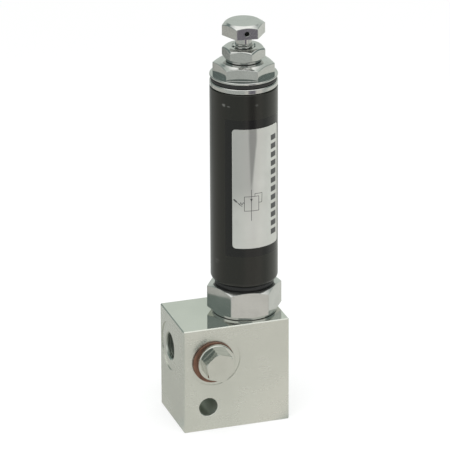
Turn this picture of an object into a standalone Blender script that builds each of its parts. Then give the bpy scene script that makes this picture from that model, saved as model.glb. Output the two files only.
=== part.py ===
"""Pressure control valve: a spring-loaded cartridge screwed into a ported steel block.

Metres, +Z up. The origin is the centre of the block's bottom face. The cartridge, its black spring
housing and the adjusting screw stand on one vertical axis, to the right of the block's middle.
Every level on that axis is worked out from the pieces below it.
"""
import math

import bmesh
import bpy
from mathutils import Matrix

# Clearances
GAP = 0.0003                     # between faces that touch on the real valve
RUNNING_GAP = 0.0003             # around pieces that slide or screw in one another
LABEL_GAP = 0.0001               # under the sticker
OVERCUT = 0.002                  # how far a cutter runs past the face it enters

# Smoothness of turned pieces
OUTER_STEPS = 44
HEX_STEPS = 24                   # a multiple of 12, so that facets meet at corners and mid-flats
INNER_STEPS = 18                 # seals, seats and other small round pieces
DRILL_STEPS = 18
SMALL_DRILL_STEPS = 12
RING_STEPS = 6                   # points round the section of an O-ring
BULGE_STEPS = 3                  # straight lengths across a squeezed ring's outer side

# Valve block, a cut length of 2.5 by 1.75 in bar
BLOCK_WIDTH = 0.0635
BLOCK_DEPTH = 0.0445
BLOCK_HEIGHT = 0.0635
BLOCK_EDGE_BREAK = 0.0004
AXIS_X = 0.0121                  # cartridge axis
MOUNT_HOLE_RADIUS = 0.0055
MOUNT_HOLE_X = -0.0171
MOUNT_HOLE_Z = 0.0146

# Pipe ports: outlet on the left face, inlet on the right face
PORT_RADIUS = 0.0076
PORT_TAPER = 1 / 32              # radius lost for each metre of depth
PORT_MOUTH_CHAMFER = 0.0010
SPOTFACE_RADIUS = 0.0143
SPOTFACE_DEPTH = 0.0004
DRILL_POINT = math.radians(31)   # slope of a drill's tip
OUTLET_Y = 0.0058
OUTLET_BELOW_TOP = 0.0201
OUTLET_PORT_DEPTH = 0.0135
OUTLET_DRILL_RADIUS = 0.0040
INLET_BELOW_TOP = 0.0430
INLET_PORT_DEPTH = 0.0110
INLET_DRILL_RADIUS = 0.0048

# Gauge port in the front face, closed by a collared plug on a copper washer
GAUGE_X = -0.0132
GAUGE_SPOTFACE_RADIUS = 0.0153
GAUGE_PORT_DEPTH = 0.0140
GAUGE_DRILL_RADIUS = 0.0030
PLUG_THREAD_RADIUS = 0.0083
PLUG_THREAD_LENGTH = 0.0120
PLUG_COLLAR_RADIUS = 0.0110
PLUG_COLLAR_THICKNESS = 0.0030
PLUG_HEX = 0.0159                # across flats
PLUG_HEX_HEIGHT = 0.0074
PLUG_HEX_TURN = math.radians(11.6)
PLUG_CHAMFER = 0.0004
WASHER_RADIUS = 0.0126
WASHER_THICKNESS = 0.0012
WASHER_SLACK = 0.0013             # between its hole and the thread
WASHER_DRIFT = 0.0005            # it sits a little off centre, down and to the left
WASHER_DRIFT_TURN = math.radians(229.0)

# Cavity of the block
CAVITY_MOUTH_RADIUS = 0.0162
CAVITY_MOUTH_DEPTH = 0.0027
OUTLET_CHAMBER_DEPTH = 0.0260    # floor of the upper bore, below the top face
NOSE_BORE_DEPTH = 0.0350         # floor of the middle bore, below the top face
INLET_CHAMBER_RADIUS = 0.0080
INLET_CHAMBER_DEPTH = 0.0490

# Cartridge body
CARTRIDGE_HEX = 0.0378           # across flats
CARTRIDGE_HEX_HEIGHT = 0.0168
CARTRIDGE_HEX_TURN = math.radians(-98.7)
CARTRIDGE_TOP_CHAMFER = 0.0017
CARTRIDGE_BOTTOM_CHAMFER = 0.0024
CARTRIDGE_CHAMFER_WIDTH = 0.0031
LOWER_THREAD_RADIUS = 0.0135
LOWER_THREAD_LENGTH = 0.0128
LOWER_RELIEF_RADIUS = 0.0126
LOWER_RELIEF_LENGTH = 0.0034
UPPER_THREAD_RADIUS = 0.01485
UPPER_RELIEF_RADIUS = 0.0139
UPPER_SPIGOT_LENGTH = 0.0177
THREAD_CHAMFER = 0.0006
NOSE_RADIUS = 0.0100
NOSE_LENGTH = 0.0348             # from the hex's underside to the end of the nose
NOSE_CHAMFER = 0.0006
NOSE_GROOVE_DEPTH = 0.0018
NOSE_GROOVE_WIDTH = 0.0046
NOSE_GROOVE_OFFSET = 0.0014      # below the floor of the upper bore
SEAT_BORE_RADIUS = 0.0065
SEAT_BORE_LENGTH = 0.0111
SENSING_CHAMBER_RADIUS = 0.0060
SENSING_CHAMBER_LENGTH = 0.0085
WINDOW_RADIUS = 0.0025
BACKUP_THICKNESS = 0.0012

# Piston
PISTON_RADIUS = 0.0040
PISTON_INTO_CHAMBER = 0.0015
PISTON_INTO_SEAT = 0.0025
PISTON_GROOVE_DEPTH = 0.0013
PISTON_GROOVE_WIDTH = 0.0036
PISTON_GROOVE_HEIGHT = 0.0180    # above the piston's lower end
PUSH_PIN_RADIUS = 0.0016
POPPET_TRAVEL = 0.0012

# Ball, its seat and what holds them in the nose
SEAT_RING_CLEARANCE = 0.0003
SEAT_RING_LENGTH = 0.0054
SEAT_HOLE_RADIUS = 0.0024
SEAT_CHAMFER = 0.0008
SEAT_GROOVE_DEPTH = 0.0013
SEAT_GROOVE_WIDTH = 0.0020
BALL_RADIUS = 0.0035
CARRIER_RADIUS = 0.0042
CARRIER_CUP_RADIUS = 0.0034
CARRIER_FLOOR = 0.0010
CARRIER_STEM_RADIUS = 0.0019
CARRIER_STEM_LENGTH = 0.0024
RETAINER_BORE_RADIUS = 0.0047
RETAINER_RADIUS = 0.0068
RETAINER_SPIGOT_LENGTH = 0.0050
RETAINER_FLOOR = 0.0018
RETAINER_BODY_LENGTH = 0.0118
RETAINER_PORT_RADIUS = 0.0013
RETAINER_PORT_HEIGHT = 0.0048
POPPET_WIRE_RADIUS = 0.00038
POPPET_COIL_RADIUS = 0.0031
POPPET_COIL_TURNS = 4.5
POPPET_STEPS_PER_TURN = 8

# Spring housing
HOUSING_RADIUS = 0.01935
HOUSING_LENGTH = 0.1177
HOUSING_BORE_RADIUS = 0.0158
HOUSING_SHOULDER = 0.0028        # rounding of its lower end
HOUSING_TOP_CHAMFER = 0.0003
HOUSING_LOWER_THREAD = 0.0168
HOUSING_UPPER_THREAD = 0.0150
SHOULDER_STEPS = 4
NECK_RING_RADIUS = 0.0171
NECK_RING_SPACE = 0.0031
RING_BULGE = 0.0007              # how far a squeezed ring's outer side swells

# Main spring and its seats
SPRING_WIRE_RADIUS = 0.0028
SPRING_COIL_RADIUS = 0.0110
SPRING_SEAT_LIFT = 0.0093        # free travel of the upper seat, up to the cap's spigot
SPRING_TURNS = 9.0
SPRING_STEPS_PER_TURN = 12
SPRING_SEAT_RADIUS = 0.0143
SPRING_SEAT_THICKNESS = 0.0050
SPRING_SEAT_BOSS_RADIUS = 0.0077
SPRING_SEAT_BOSS_LENGTH = 0.0060
SPRING_SEAT_CHAMFER = 0.0008
THRUST_BALL_RADIUS = 0.0040
THRUST_CUP_RADIUS = 0.0036

# Top of the housing
CLAMP_RING_BORE_GAP = 0.0003
CLAMP_RING_HEIGHT = 0.0030
CLAMP_RING_CHAMFER = 0.0004
CAP_NECK_RADIUS = 0.0164
CAP_GROOVE = 0.0025              # height of the O-ring's groove
CAP_FLANGE_RADIUS = 0.0194
CAP_FLANGE_THICKNESS = 0.0013
CAP_FLANGE_CHAMFER = 0.0003
CAP_HEX = 0.0305                 # across flats
CAP_HEX_HEIGHT = 0.0076
CAP_HEX_TURN = math.radians(-111.8)
CAP_CROWN_RADIUS = 0.0134
CAP_CROWN_MIDDLE_RADIUS = 0.0152
CAP_CROWN_MIDDLE_DROP = 0.0010
CAP_CROWN_DROP = 0.0019
CAP_SPIGOT_LENGTH = 0.0112
CAP_RELIEF_DEPTH = 0.0007
CAP_RELIEF_LENGTH = 0.0015
CAP_RING_RADIUS = 0.0190

# Lock nut and adjusting screw
SCREW_RADIUS = 0.0060
SCREW_NECK_RADIUS = 0.00475
SCREW_NECK_LENGTH = 0.0050
SCREW_TIP_RADIUS = 0.0050
SCREW_TIP_LENGTH = 0.0040
SCREW_ABOVE_NUT = 0.0069         # free length between the nut and the head
SCREW_HEX = 0.0215               # across flats
SCREW_HEX_CORNER = 0.0124
SCREW_HEX_HEIGHT = 0.0077
SCREW_HEX_TURN = math.radians(-97.6)
SCREW_CROWN_RADIUS = 0.0093
SCREW_CROWN_MIDDLE_RADIUS = 0.0107
SCREW_CROWN_MIDDLE_DROP = 0.0009
SCREW_CROWN_DROP = 0.0018
WIRE_HOLE_RADIUS = 0.0013
WIRE_HOLE_HEIGHT = 0.0033        # above the head's underside
NUT_HEX = 0.0215                 # across flats
NUT_HEIGHT = 0.0082
NUT_HEX_TURN = math.radians(-116.0)
NUT_FACE_RADIUS = 0.0096
NUT_CHAMFER = 0.0016
NUT_COUNTERSINK = 0.0008

# Label
LABEL_WIDTH = 0.0310
LABEL_HEIGHT = 0.0724
LABEL_THICKNESS = 0.00015
LABEL_CORNER = 0.0020
LABEL_BASE = 0.0250              # lower edge above the housing's lower end
LABEL_LEFT = math.radians(-128.2)
LABEL_COLUMNS = 14

# Levels on the cartridge axis, from the block upwards
HEX_BOTTOM = BLOCK_HEIGHT + GAP
HEX_TOP = HEX_BOTTOM + CARTRIDGE_HEX_HEIGHT
SPIGOT_TOP = HEX_TOP + UPPER_SPIGOT_LENGTH
HOUSING_BOTTOM = HEX_TOP + NECK_RING_SPACE
HOUSING_TOP = HOUSING_BOTTOM + HOUSING_LENGTH
LOWER_SEAT_BOTTOM = SPIGOT_TOP + GAP
LOWER_SEAT_TOP = LOWER_SEAT_BOTTOM + SPRING_SEAT_THICKNESS
SPRING_BOTTOM = LOWER_SEAT_TOP + GAP
CAP_SHOULDER = HOUSING_TOP + GAP
CAP_SPIGOT_BOTTOM = CAP_SHOULDER - CAP_SPIGOT_LENGTH
UPPER_SEAT_TOP = CAP_SPIGOT_BOTTOM - SPRING_SEAT_LIFT
UPPER_SEAT_BOTTOM = UPPER_SEAT_TOP - SPRING_SEAT_THICKNESS
SPRING_TOP = UPPER_SEAT_BOTTOM - GAP
CAP_FLANGE_BOTTOM = CAP_SHOULDER + CLAMP_RING_HEIGHT + CAP_GROOVE
CAP_FLANGE_TOP = CAP_FLANGE_BOTTOM + CAP_FLANGE_THICKNESS
CAP_TOP = CAP_FLANGE_TOP + CAP_HEX_HEIGHT
NUT_BOTTOM = CAP_TOP + GAP
NUT_TOP = NUT_BOTTOM + NUT_HEIGHT
HEAD_BOTTOM = NUT_TOP + SCREW_ABOVE_NUT
HEAD_TOP = HEAD_BOTTOM + SCREW_HEX_HEIGHT

# Levels in the block
OUTLET_Z = BLOCK_HEIGHT - OUTLET_BELOW_TOP
INLET_Z = BLOCK_HEIGHT - INLET_BELOW_TOP
OUTLET_CHAMBER_FLOOR = BLOCK_HEIGHT - OUTLET_CHAMBER_DEPTH
NOSE_BORE_FLOOR = BLOCK_HEIGHT - NOSE_BORE_DEPTH
INLET_CHAMBER_FLOOR = BLOCK_HEIGHT - INLET_CHAMBER_DEPTH
LOWER_RELIEF_BOTTOM = HEX_BOTTOM - LOWER_RELIEF_LENGTH
LOWER_THREAD_BOTTOM = LOWER_RELIEF_BOTTOM - LOWER_THREAD_LENGTH
NOSE_BOTTOM = HEX_BOTTOM - NOSE_LENGTH
SEAT_BORE_TOP = NOSE_BOTTOM + SEAT_BORE_LENGTH
SENSING_CHAMBER_TOP = SEAT_BORE_TOP + SENSING_CHAMBER_LENGTH
RETAINER_TOP = NOSE_BOTTOM + RETAINER_SPIGOT_LENGTH
RETAINER_SHOULDER = NOSE_BOTTOM - GAP
RETAINER_BOTTOM = RETAINER_SHOULDER - RETAINER_BODY_LENGTH
SEAT_RING_BOTTOM = RETAINER_TOP + GAP
SEAT_RING_TOP = SEAT_RING_BOTTOM + SEAT_RING_LENGTH
NOSE_GROOVE_TOP = OUTLET_CHAMBER_FLOOR - NOSE_GROOVE_OFFSET
NOSE_GROOVE_BOTTOM = NOSE_GROOVE_TOP - NOSE_GROOVE_WIDTH

# The open ball stands POPPET_TRAVEL below the height at which it meets the seat's edge
BALL_DROP = math.sqrt((BALL_RADIUS + GAP) ** 2 - SEAT_HOLE_RADIUS ** 2)
BALL_CENTRE = SEAT_RING_BOTTOM - BALL_DROP - POPPET_TRAVEL
CARRIER_CONE_TIP = BALL_CENTRE - (BALL_RADIUS + GAP) * math.sqrt(2)
CARRIER_TOP = CARRIER_CONE_TIP + CARRIER_CUP_RADIUS
CARRIER_SHOULDER = CARRIER_CONE_TIP - CARRIER_FLOOR
PIN_BOTTOM = BALL_CENTRE + BALL_RADIUS + GAP
PISTON_BOTTOM = SENSING_CHAMBER_TOP - PISTON_INTO_CHAMBER
PISTON_TOP = LOWER_SEAT_BOTTOM + PISTON_INTO_SEAT
PISTON_GROOVE_BOTTOM = PISTON_BOTTOM + PISTON_GROOVE_HEIGHT
PISTON_GROOVE_TOP = PISTON_GROOVE_BOTTOM + PISTON_GROOVE_WIDTH

# The thrust ball lies between two cones of 45 degrees
THRUST_REACH = (THRUST_BALL_RADIUS + GAP) * math.sqrt(2)
THRUST_BALL_CENTRE = UPPER_SEAT_TOP - THRUST_CUP_RADIUS + THRUST_REACH
SCREW_TIP = THRUST_BALL_CENTRE + THRUST_REACH - THRUST_CUP_RADIUS

PISTON_BORE_RADIUS = PISTON_RADIUS + RUNNING_GAP
HOUSING_THREAD_RADIUS = UPPER_THREAD_RADIUS + RUNNING_GAP
SCREW_HOLE_RADIUS = SCREW_RADIUS + RUNNING_GAP
UPPER_BORE_RADIUS = LOWER_THREAD_RADIUS + GAP
NOSE_BORE_RADIUS = NOSE_RADIUS + GAP
GAUGE_BORE_RADIUS = PLUG_THREAD_RADIUS + GAP


def clear_scene():
    for old in list(bpy.data.objects):
        bpy.data.objects.remove(old, do_unlink=True)


def new_collection(name):
    collection = bpy.data.collections.new(name)
    bpy.context.scene.collection.children.link(collection)
    return collection


def steel(name, color, roughness):
    return principled(name, color, roughness, 1.0)


def principled(name, color, roughness, metallic):
    mat = bpy.data.materials.new(name)
    mat.use_nodes = True
    shader = mat.node_tree.nodes["Principled BSDF"]
    shader.inputs["Base Color"].default_value = (*color, 1.0)
    shader.inputs["Roughness"].default_value = roughness
    shader.inputs["Metallic"].default_value = metallic
    return mat


def add_object(name, data, collection, mat=None):
    obj = bpy.data.objects.new(name, data)
    collection.objects.link(obj)
    if mat:
        data.materials.append(mat)
    return obj


def make_cutter(obj):
    obj.hide_render = True
    obj.display_type = "WIRE"
    return obj


def profile_mesh(name, points, base, ring):
    """Edges through (radius, height) points; a ring's outline is closed, a solid's ends on the axis."""
    mesh = bpy.data.meshes.new(name)
    count = len(points)
    edges = [(i, i + 1) for i in range(count - 1)]
    if ring:
        edges.append((count - 1, 0))
    mesh.from_pydata([(radius, 0.0, height - base) for radius, height in points], edges, [])
    return mesh


def turned(name, points, collection, mat=None, base=0.0, ring=False, steps=OUTER_STEPS, x=AXIS_X, turn=0.0):
    """Turn a profile, listed from the top down its outer side, about the vertical axis at x."""
    obj = add_object(name, profile_mesh(name, points, base, ring), collection, mat)
    obj.location = (x, 0.0, base)
    obj.rotation_euler = (0.0, 0.0, turn)
    screw = obj.modifiers.new("Turn", "SCREW")
    screw.axis = "Z"
    screw.angle = math.tau
    screw.screw_offset = 0.0
    screw.steps = steps
    screw.render_steps = steps
    screw.use_merge_vertices = True
    screw.merge_threshold = 0.00001
    screw.use_smooth_shade = True
    return obj


def ball(name, radius, height, collection, mat):
    mesh = bpy.data.meshes.new(name)
    shape = bmesh.new()
    bmesh.ops.create_uvsphere(shape, u_segments=14, v_segments=8, radius=radius)
    shape.to_mesh(mesh)
    shape.free()
    obj = add_object(name, mesh, collection, mat)
    obj.location = (AXIS_X, 0.0, height)
    return obj


def cylinder_cutter(name, radius, length, collection, steps=DRILL_STEPS):
    """A plain drill centred on its own origin, along its own Z."""
    mesh = bpy.data.meshes.new(name)
    shape = bmesh.new()
    bmesh.ops.create_cone(shape, cap_ends=True, segments=steps, radius1=radius, radius2=radius, depth=length)
    shape.to_mesh(mesh)
    shape.free()
    return make_cutter(add_object(name, mesh, collection))


def cut(obj, cutter):
    boolean = obj.modifiers.new(cutter.name, "BOOLEAN")
    boolean.operation = "DIFFERENCE"
    boolean.solver = "EXACT"
    boolean.object = cutter
    return obj


def mill_hexagon(obj, across_flats, low, high, turn, collection, x=AXIS_X, y=0.0, tilt=None):
    """Cut six flats: the cutter is a wide sleeve with a hexagonal hole, between two levels."""
    middle = (low + high) / 2
    sleeve = cylinder_cutter(obj.name + "_flats", across_flats * 1.5, high - low, collection)
    core = cylinder_cutter(
        obj.name + "_hexagon", across_flats / math.sqrt(3), (high - low) + 2 * OVERCUT, collection, steps=6
    )
    place = Matrix.Translation((x, y, middle)) if tilt is None else tilt @ Matrix.Translation((0.0, 0.0, middle))
    # create_cone puts its first corner on Y, so one flat already faces along X
    spin = Matrix.Rotation(turn, 4, "Z")
    sleeve.matrix_world = place @ spin
    core.matrix_world = place @ spin
    cut(sleeve, core)
    return cut(obj, sleeve)


def drill_across(obj, name, radius, reach, height, angle, collection, steps=DRILL_STEPS):
    """Drill right through a piece on the cartridge axis, along a level line at the given angle."""
    drill = cylinder_cutter(name, radius, 2 * reach, collection, steps)
    turn = Matrix.Rotation(angle, 4, "Z") @ Matrix.Rotation(math.radians(90), 4, "Y")
    drill.matrix_world = Matrix.Translation((AXIS_X, 0.0, height)) @ turn
    return cut(obj, drill)


def o_ring_profile(centre_radius, centre_height, section_radius):
    """Round section, walked so that the turned ring faces outwards."""
    return [
        (
            centre_radius + section_radius * math.sin(math.tau * (i + 0.5) / RING_STEPS),
            centre_height + section_radius * math.cos(math.tau * (i + 0.5) / RING_STEPS),
        )
        for i in range(RING_STEPS)
    ]


def flat_ring_profile(inner, outer, low, high, chamfer=0.0):
    if not chamfer:
        return [(outer, high), (outer, low), (inner, low), (inner, high)]
    return [
        (outer - chamfer, high),
        (outer, high - chamfer),
        (outer, low + chamfer),
        (outer - chamfer, low),
        (inner, low),
        (inner, high),
    ]


def port_cutter(name, spot_radius, mouth_radius, end_radius, depth, drill_radius, drill_length, collection):
    """A spotfaced, chamfered and tapered port with a drilling beyond it; local Z points out of the face."""
    floor = -SPOTFACE_DEPTH
    step_back = (end_radius - drill_radius) * math.tan(DRILL_POINT)
    points = [
        (0.0, OVERCUT),
        (spot_radius, OVERCUT),
        (spot_radius, floor),
        (mouth_radius + PORT_MOUTH_CHAMFER, floor),
        (mouth_radius, floor - PORT_MOUTH_CHAMFER),
        (end_radius, -depth),
        (drill_radius, -depth - step_back),
        (drill_radius, -drill_length),
        (0.0, -drill_length - drill_radius * math.tan(DRILL_POINT)),
    ]
    return make_cutter(turned(name, points, collection, steps=DRILL_STEPS, x=0.0))


def make_block(parts, cutters, mat):
    mesh = bpy.data.meshes.new("valve_block")
    shape = bmesh.new()
    bmesh.ops.create_cube(shape, size=1.0)
    bmesh.ops.scale(shape, vec=(BLOCK_WIDTH, BLOCK_DEPTH, BLOCK_HEIGHT), verts=shape.verts)
    shape.to_mesh(mesh)
    shape.free()
    block = add_object("valve_block", mesh, parts, mat)
    block.location = (0.0, 0.0, BLOCK_HEIGHT / 2)
    edges = block.modifiers.new("Edge break", "BEVEL")
    edges.width = BLOCK_EDGE_BREAK
    edges.segments = 1
    edges.limit_method = "ANGLE"

    cavity = [
        (0.0, BLOCK_HEIGHT + OVERCUT),
        (CAVITY_MOUTH_RADIUS, BLOCK_HEIGHT + OVERCUT),
        (CAVITY_MOUTH_RADIUS, BLOCK_HEIGHT - CAVITY_MOUTH_DEPTH),
        (UPPER_BORE_RADIUS, BLOCK_HEIGHT - CAVITY_MOUTH_DEPTH),
        (UPPER_BORE_RADIUS, OUTLET_CHAMBER_FLOOR),
        (NOSE_BORE_RADIUS, OUTLET_CHAMBER_FLOOR),
        (NOSE_BORE_RADIUS, NOSE_BORE_FLOOR),
        (INLET_CHAMBER_RADIUS, NOSE_BORE_FLOOR),
        (INLET_CHAMBER_RADIUS, INLET_CHAMBER_FLOOR),
        (0.0, INLET_CHAMBER_FLOOR - INLET_CHAMBER_RADIUS * math.tan(math.radians(15))),
    ]
    cut(block, make_cutter(turned("cavity", cavity, cutters, steps=HEX_STEPS)))

    outlet = port_cutter(
        "outlet_port", SPOTFACE_RADIUS, PORT_RADIUS, PORT_RADIUS - OUTLET_PORT_DEPTH * PORT_TAPER,
        OUTLET_PORT_DEPTH, OUTLET_DRILL_RADIUS, BLOCK_WIDTH / 2 + AXIS_X - OUTLET_DRILL_RADIUS, cutters,
    )
    outlet.location = (-BLOCK_WIDTH / 2, OUTLET_Y, OUTLET_Z)
    outlet.rotation_euler = (0.0, math.radians(-90), 0.0)
    cut(block, outlet)

    inlet = port_cutter(
        "inlet_port", SPOTFACE_RADIUS, PORT_RADIUS, PORT_RADIUS - INLET_PORT_DEPTH * PORT_TAPER,
        INLET_PORT_DEPTH, INLET_DRILL_RADIUS, BLOCK_WIDTH / 2 - AXIS_X, cutters,
    )
    inlet.location = (BLOCK_WIDTH / 2, 0.0, INLET_Z)
    inlet.rotation_euler = (0.0, math.radians(90), 0.0)
    cut(block, inlet)

    gauge = port_cutter(
        "gauge_port", GAUGE_SPOTFACE_RADIUS, GAUGE_BORE_RADIUS, GAUGE_BORE_RADIUS,
        GAUGE_PORT_DEPTH, GAUGE_DRILL_RADIUS, BLOCK_DEPTH / 2 + OUTLET_Y, cutters,
    )
    gauge.location = (GAUGE_X, -BLOCK_DEPTH / 2, OUTLET_Z)
    gauge.rotation_euler = (math.radians(90), 0.0, 0.0)
    cut(block, gauge)

    mount = cylinder_cutter("mounting_hole", MOUNT_HOLE_RADIUS, BLOCK_DEPTH + 2 * OVERCUT, cutters)
    mount.location = (MOUNT_HOLE_X, 0.0, MOUNT_HOLE_Z)
    mount.rotation_euler = (math.radians(90), 0.0, 0.0)
    cut(block, mount)


def make_cartridge(parts, cutters, mat):
    corner = CARTRIDGE_HEX / math.sqrt(3)
    face = corner - CARTRIDGE_CHAMFER_WIDTH
    groove = NOSE_RADIUS - NOSE_GROOVE_DEPTH
    points = [
        (UPPER_THREAD_RADIUS - THREAD_CHAMFER, SPIGOT_TOP),
        (UPPER_THREAD_RADIUS, SPIGOT_TOP - THREAD_CHAMFER),
        (UPPER_THREAD_RADIUS, HOUSING_BOTTOM + THREAD_CHAMFER),
        (UPPER_RELIEF_RADIUS, HOUSING_BOTTOM),
        (UPPER_RELIEF_RADIUS, HEX_TOP),
        (face, HEX_TOP),
        (corner, HEX_TOP - CARTRIDGE_TOP_CHAMFER),
        (corner, HEX_BOTTOM + CARTRIDGE_BOTTOM_CHAMFER),
        (face, HEX_BOTTOM),
        (LOWER_RELIEF_RADIUS, HEX_BOTTOM),
        (LOWER_RELIEF_RADIUS, LOWER_RELIEF_BOTTOM),
        (LOWER_THREAD_RADIUS, LOWER_RELIEF_BOTTOM - THREAD_CHAMFER),
        (LOWER_THREAD_RADIUS, LOWER_THREAD_BOTTOM + THREAD_CHAMFER),
        (LOWER_THREAD_RADIUS - THREAD_CHAMFER, LOWER_THREAD_BOTTOM),
        (NOSE_RADIUS, LOWER_THREAD_BOTTOM),
        (NOSE_RADIUS, NOSE_GROOVE_TOP),
        (groove, NOSE_GROOVE_TOP),
        (groove, NOSE_GROOVE_BOTTOM),
        (NOSE_RADIUS, NOSE_GROOVE_BOTTOM),
        (NOSE_RADIUS, NOSE_BOTTOM + NOSE_CHAMFER),
        (NOSE_RADIUS - NOSE_CHAMFER, NOSE_BOTTOM),
        (SEAT_BORE_RADIUS, NOSE_BOTTOM),
        (SEAT_BORE_RADIUS, SEAT_BORE_TOP),
        (SENSING_CHAMBER_RADIUS, SEAT_BORE_TOP),
        (SENSING_CHAMBER_RADIUS, SENSING_CHAMBER_TOP),
        (PISTON_BORE_RADIUS, SENSING_CHAMBER_TOP),
        (PISTON_BORE_RADIUS, SPIGOT_TOP),
    ]
    body = turned(
        "cartridge_body", points, parts, mat, base=HEX_BOTTOM, ring=True, steps=HEX_STEPS, turn=CARTRIDGE_HEX_TURN,
    )
    mill_hexagon(body, CARTRIDGE_HEX, HEX_BOTTOM - GAP / 2, HEX_TOP + GAP / 2, CARTRIDGE_HEX_TURN, cutters)
    for index in range(2):
        drill_across(
            body, "outlet_window_%d" % index, WINDOW_RADIUS, NOSE_RADIUS + OVERCUT, OUTLET_Z,
            math.radians(90 * index), cutters, steps=SMALL_DRILL_STEPS,
        )


def make_seals(parts, rubber, plastic):
    """O-rings and their plastic back-up rings, each clear of its groove by GAP."""
    mouth_height = HEX_BOTTOM - (BLOCK_HEIGHT - CAVITY_MOUTH_DEPTH)
    body_section = mouth_height / 2 - GAP
    body_centre = BLOCK_HEIGHT - CAVITY_MOUTH_DEPTH + mouth_height / 2
    turned(
        "body_o_ring", o_ring_profile(LOWER_RELIEF_RADIUS + GAP + body_section, body_centre, body_section),
        parts, rubber, base=body_centre, ring=True, steps=INNER_STEPS,
    )

    seals = (
        ("nose", NOSE_RADIUS - NOSE_GROOVE_DEPTH, NOSE_BORE_RADIUS, NOSE_GROOVE_BOTTOM),
        ("piston", PISTON_RADIUS - PISTON_GROOVE_DEPTH, PISTON_BORE_RADIUS, PISTON_GROOVE_BOTTOM),
    )
    for name, floor, wall, bottom in seals:
        section = (wall - floor) / 2 - GAP
        centre = bottom + GAP + section
        turned(
            name + "_o_ring", o_ring_profile(floor + GAP + section, centre, section),
            parts, rubber, base=centre, ring=True, steps=INNER_STEPS,
        )
        low = centre + section + GAP
        turned(
            name + "_backup_ring", flat_ring_profile(floor + GAP, wall - GAP, low, low + BACKUP_THICKNESS),
            parts, plastic, base=low, ring=True, steps=INNER_STEPS,
        )

    seat_floor = seat_ring_radius() - SEAT_GROOVE_DEPTH
    section = (SEAT_BORE_RADIUS - seat_floor) / 2 - GAP
    centre = SEAT_RING_BOTTOM + SEAT_RING_LENGTH / 2
    turned(
        "seat_o_ring", o_ring_profile(seat_floor + GAP + section, centre, section),
        parts, rubber, base=centre, ring=True, steps=INNER_STEPS,
    )


def seat_ring_radius():
    return SEAT_BORE_RADIUS - SEAT_RING_CLEARANCE


def make_poppet(parts, cutters, bright, spring_steel):
    """Seat ring, ball, carrier, spring and the perforated retainer at the end of the nose."""
    outer = seat_ring_radius()
    groove = outer - SEAT_GROOVE_DEPTH
    groove_low = SEAT_RING_BOTTOM + (SEAT_RING_LENGTH - SEAT_GROOVE_WIDTH) / 2
    groove_high = groove_low + SEAT_GROOVE_WIDTH
    points = [
        (outer, SEAT_RING_TOP),
        (outer, groove_high),
        (groove, groove_high),
        (groove, groove_low),
        (outer, groove_low),
        (outer, SEAT_RING_BOTTOM),
        (SEAT_HOLE_RADIUS, SEAT_RING_BOTTOM),
        (SEAT_HOLE_RADIUS, SEAT_RING_TOP - SEAT_CHAMFER),
        (SEAT_HOLE_RADIUS + SEAT_CHAMFER, SEAT_RING_TOP),
    ]
    turned("seat_ring", points, parts, bright, base=SEAT_RING_BOTTOM, ring=True, steps=INNER_STEPS)
    ball("valve_ball", BALL_RADIUS, BALL_CENTRE, parts, bright)

    points = [
        (0.0, CARRIER_CONE_TIP),
        (CARRIER_CUP_RADIUS, CARRIER_TOP),
        (CARRIER_RADIUS, CARRIER_TOP),
        (CARRIER_RADIUS, CARRIER_SHOULDER),
        (CARRIER_STEM_RADIUS, CARRIER_SHOULDER),
        (CARRIER_STEM_RADIUS, CARRIER_SHOULDER - CARRIER_STEM_LENGTH),
        (0.0, CARRIER_SHOULDER - CARRIER_STEM_LENGTH),
    ]
    turned("ball_carrier", points, parts, bright, base=CARRIER_SHOULDER, steps=INNER_STEPS)

    spigot = SEAT_BORE_RADIUS - GAP
    floor = RETAINER_BOTTOM + RETAINER_FLOOR
    points = [
        (0.0, floor),
        (RETAINER_BORE_RADIUS, floor),
        (RETAINER_BORE_RADIUS, RETAINER_TOP),
        (spigot, RETAINER_TOP),
        (spigot, RETAINER_SHOULDER),
        (RETAINER_RADIUS, RETAINER_SHOULDER),
        (RETAINER_RADIUS, RETAINER_BOTTOM),
        (0.0, RETAINER_BOTTOM),
    ]
    retainer = turned("poppet_retainer", points, parts, bright, base=RETAINER_BOTTOM, steps=INNER_STEPS)
    for index in range(2):
        drill_across(
            retainer, "retainer_port_%d" % index, RETAINER_PORT_RADIUS, RETAINER_RADIUS + OVERCUT,
            RETAINER_BOTTOM + RETAINER_PORT_HEIGHT, math.radians(45 + 90 * index), cutters, steps=SMALL_DRILL_STEPS,
        )

    coil(
        "poppet_spring", POPPET_WIRE_RADIUS, POPPET_COIL_RADIUS, floor + GAP, CARRIER_SHOULDER - GAP,
        POPPET_COIL_TURNS, POPPET_STEPS_PER_TURN, parts, spring_steel,
    )


def make_piston(parts, mat):
    groove = PISTON_RADIUS - PISTON_GROOVE_DEPTH
    points = [
        (0.0, PISTON_TOP),
        (PISTON_RADIUS, PISTON_TOP),
        (PISTON_RADIUS, PISTON_GROOVE_TOP),
        (groove, PISTON_GROOVE_TOP),
        (groove, PISTON_GROOVE_BOTTOM),
        (PISTON_RADIUS, PISTON_GROOVE_BOTTOM),
        (PISTON_RADIUS, PISTON_BOTTOM),
        (PUSH_PIN_RADIUS, PISTON_BOTTOM),
        (PUSH_PIN_RADIUS, PIN_BOTTOM),
        (0.0, PIN_BOTTOM),
    ]
    turned("sensing_piston", points, parts, mat, base=PISTON_BOTTOM, steps=INNER_STEPS)


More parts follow.
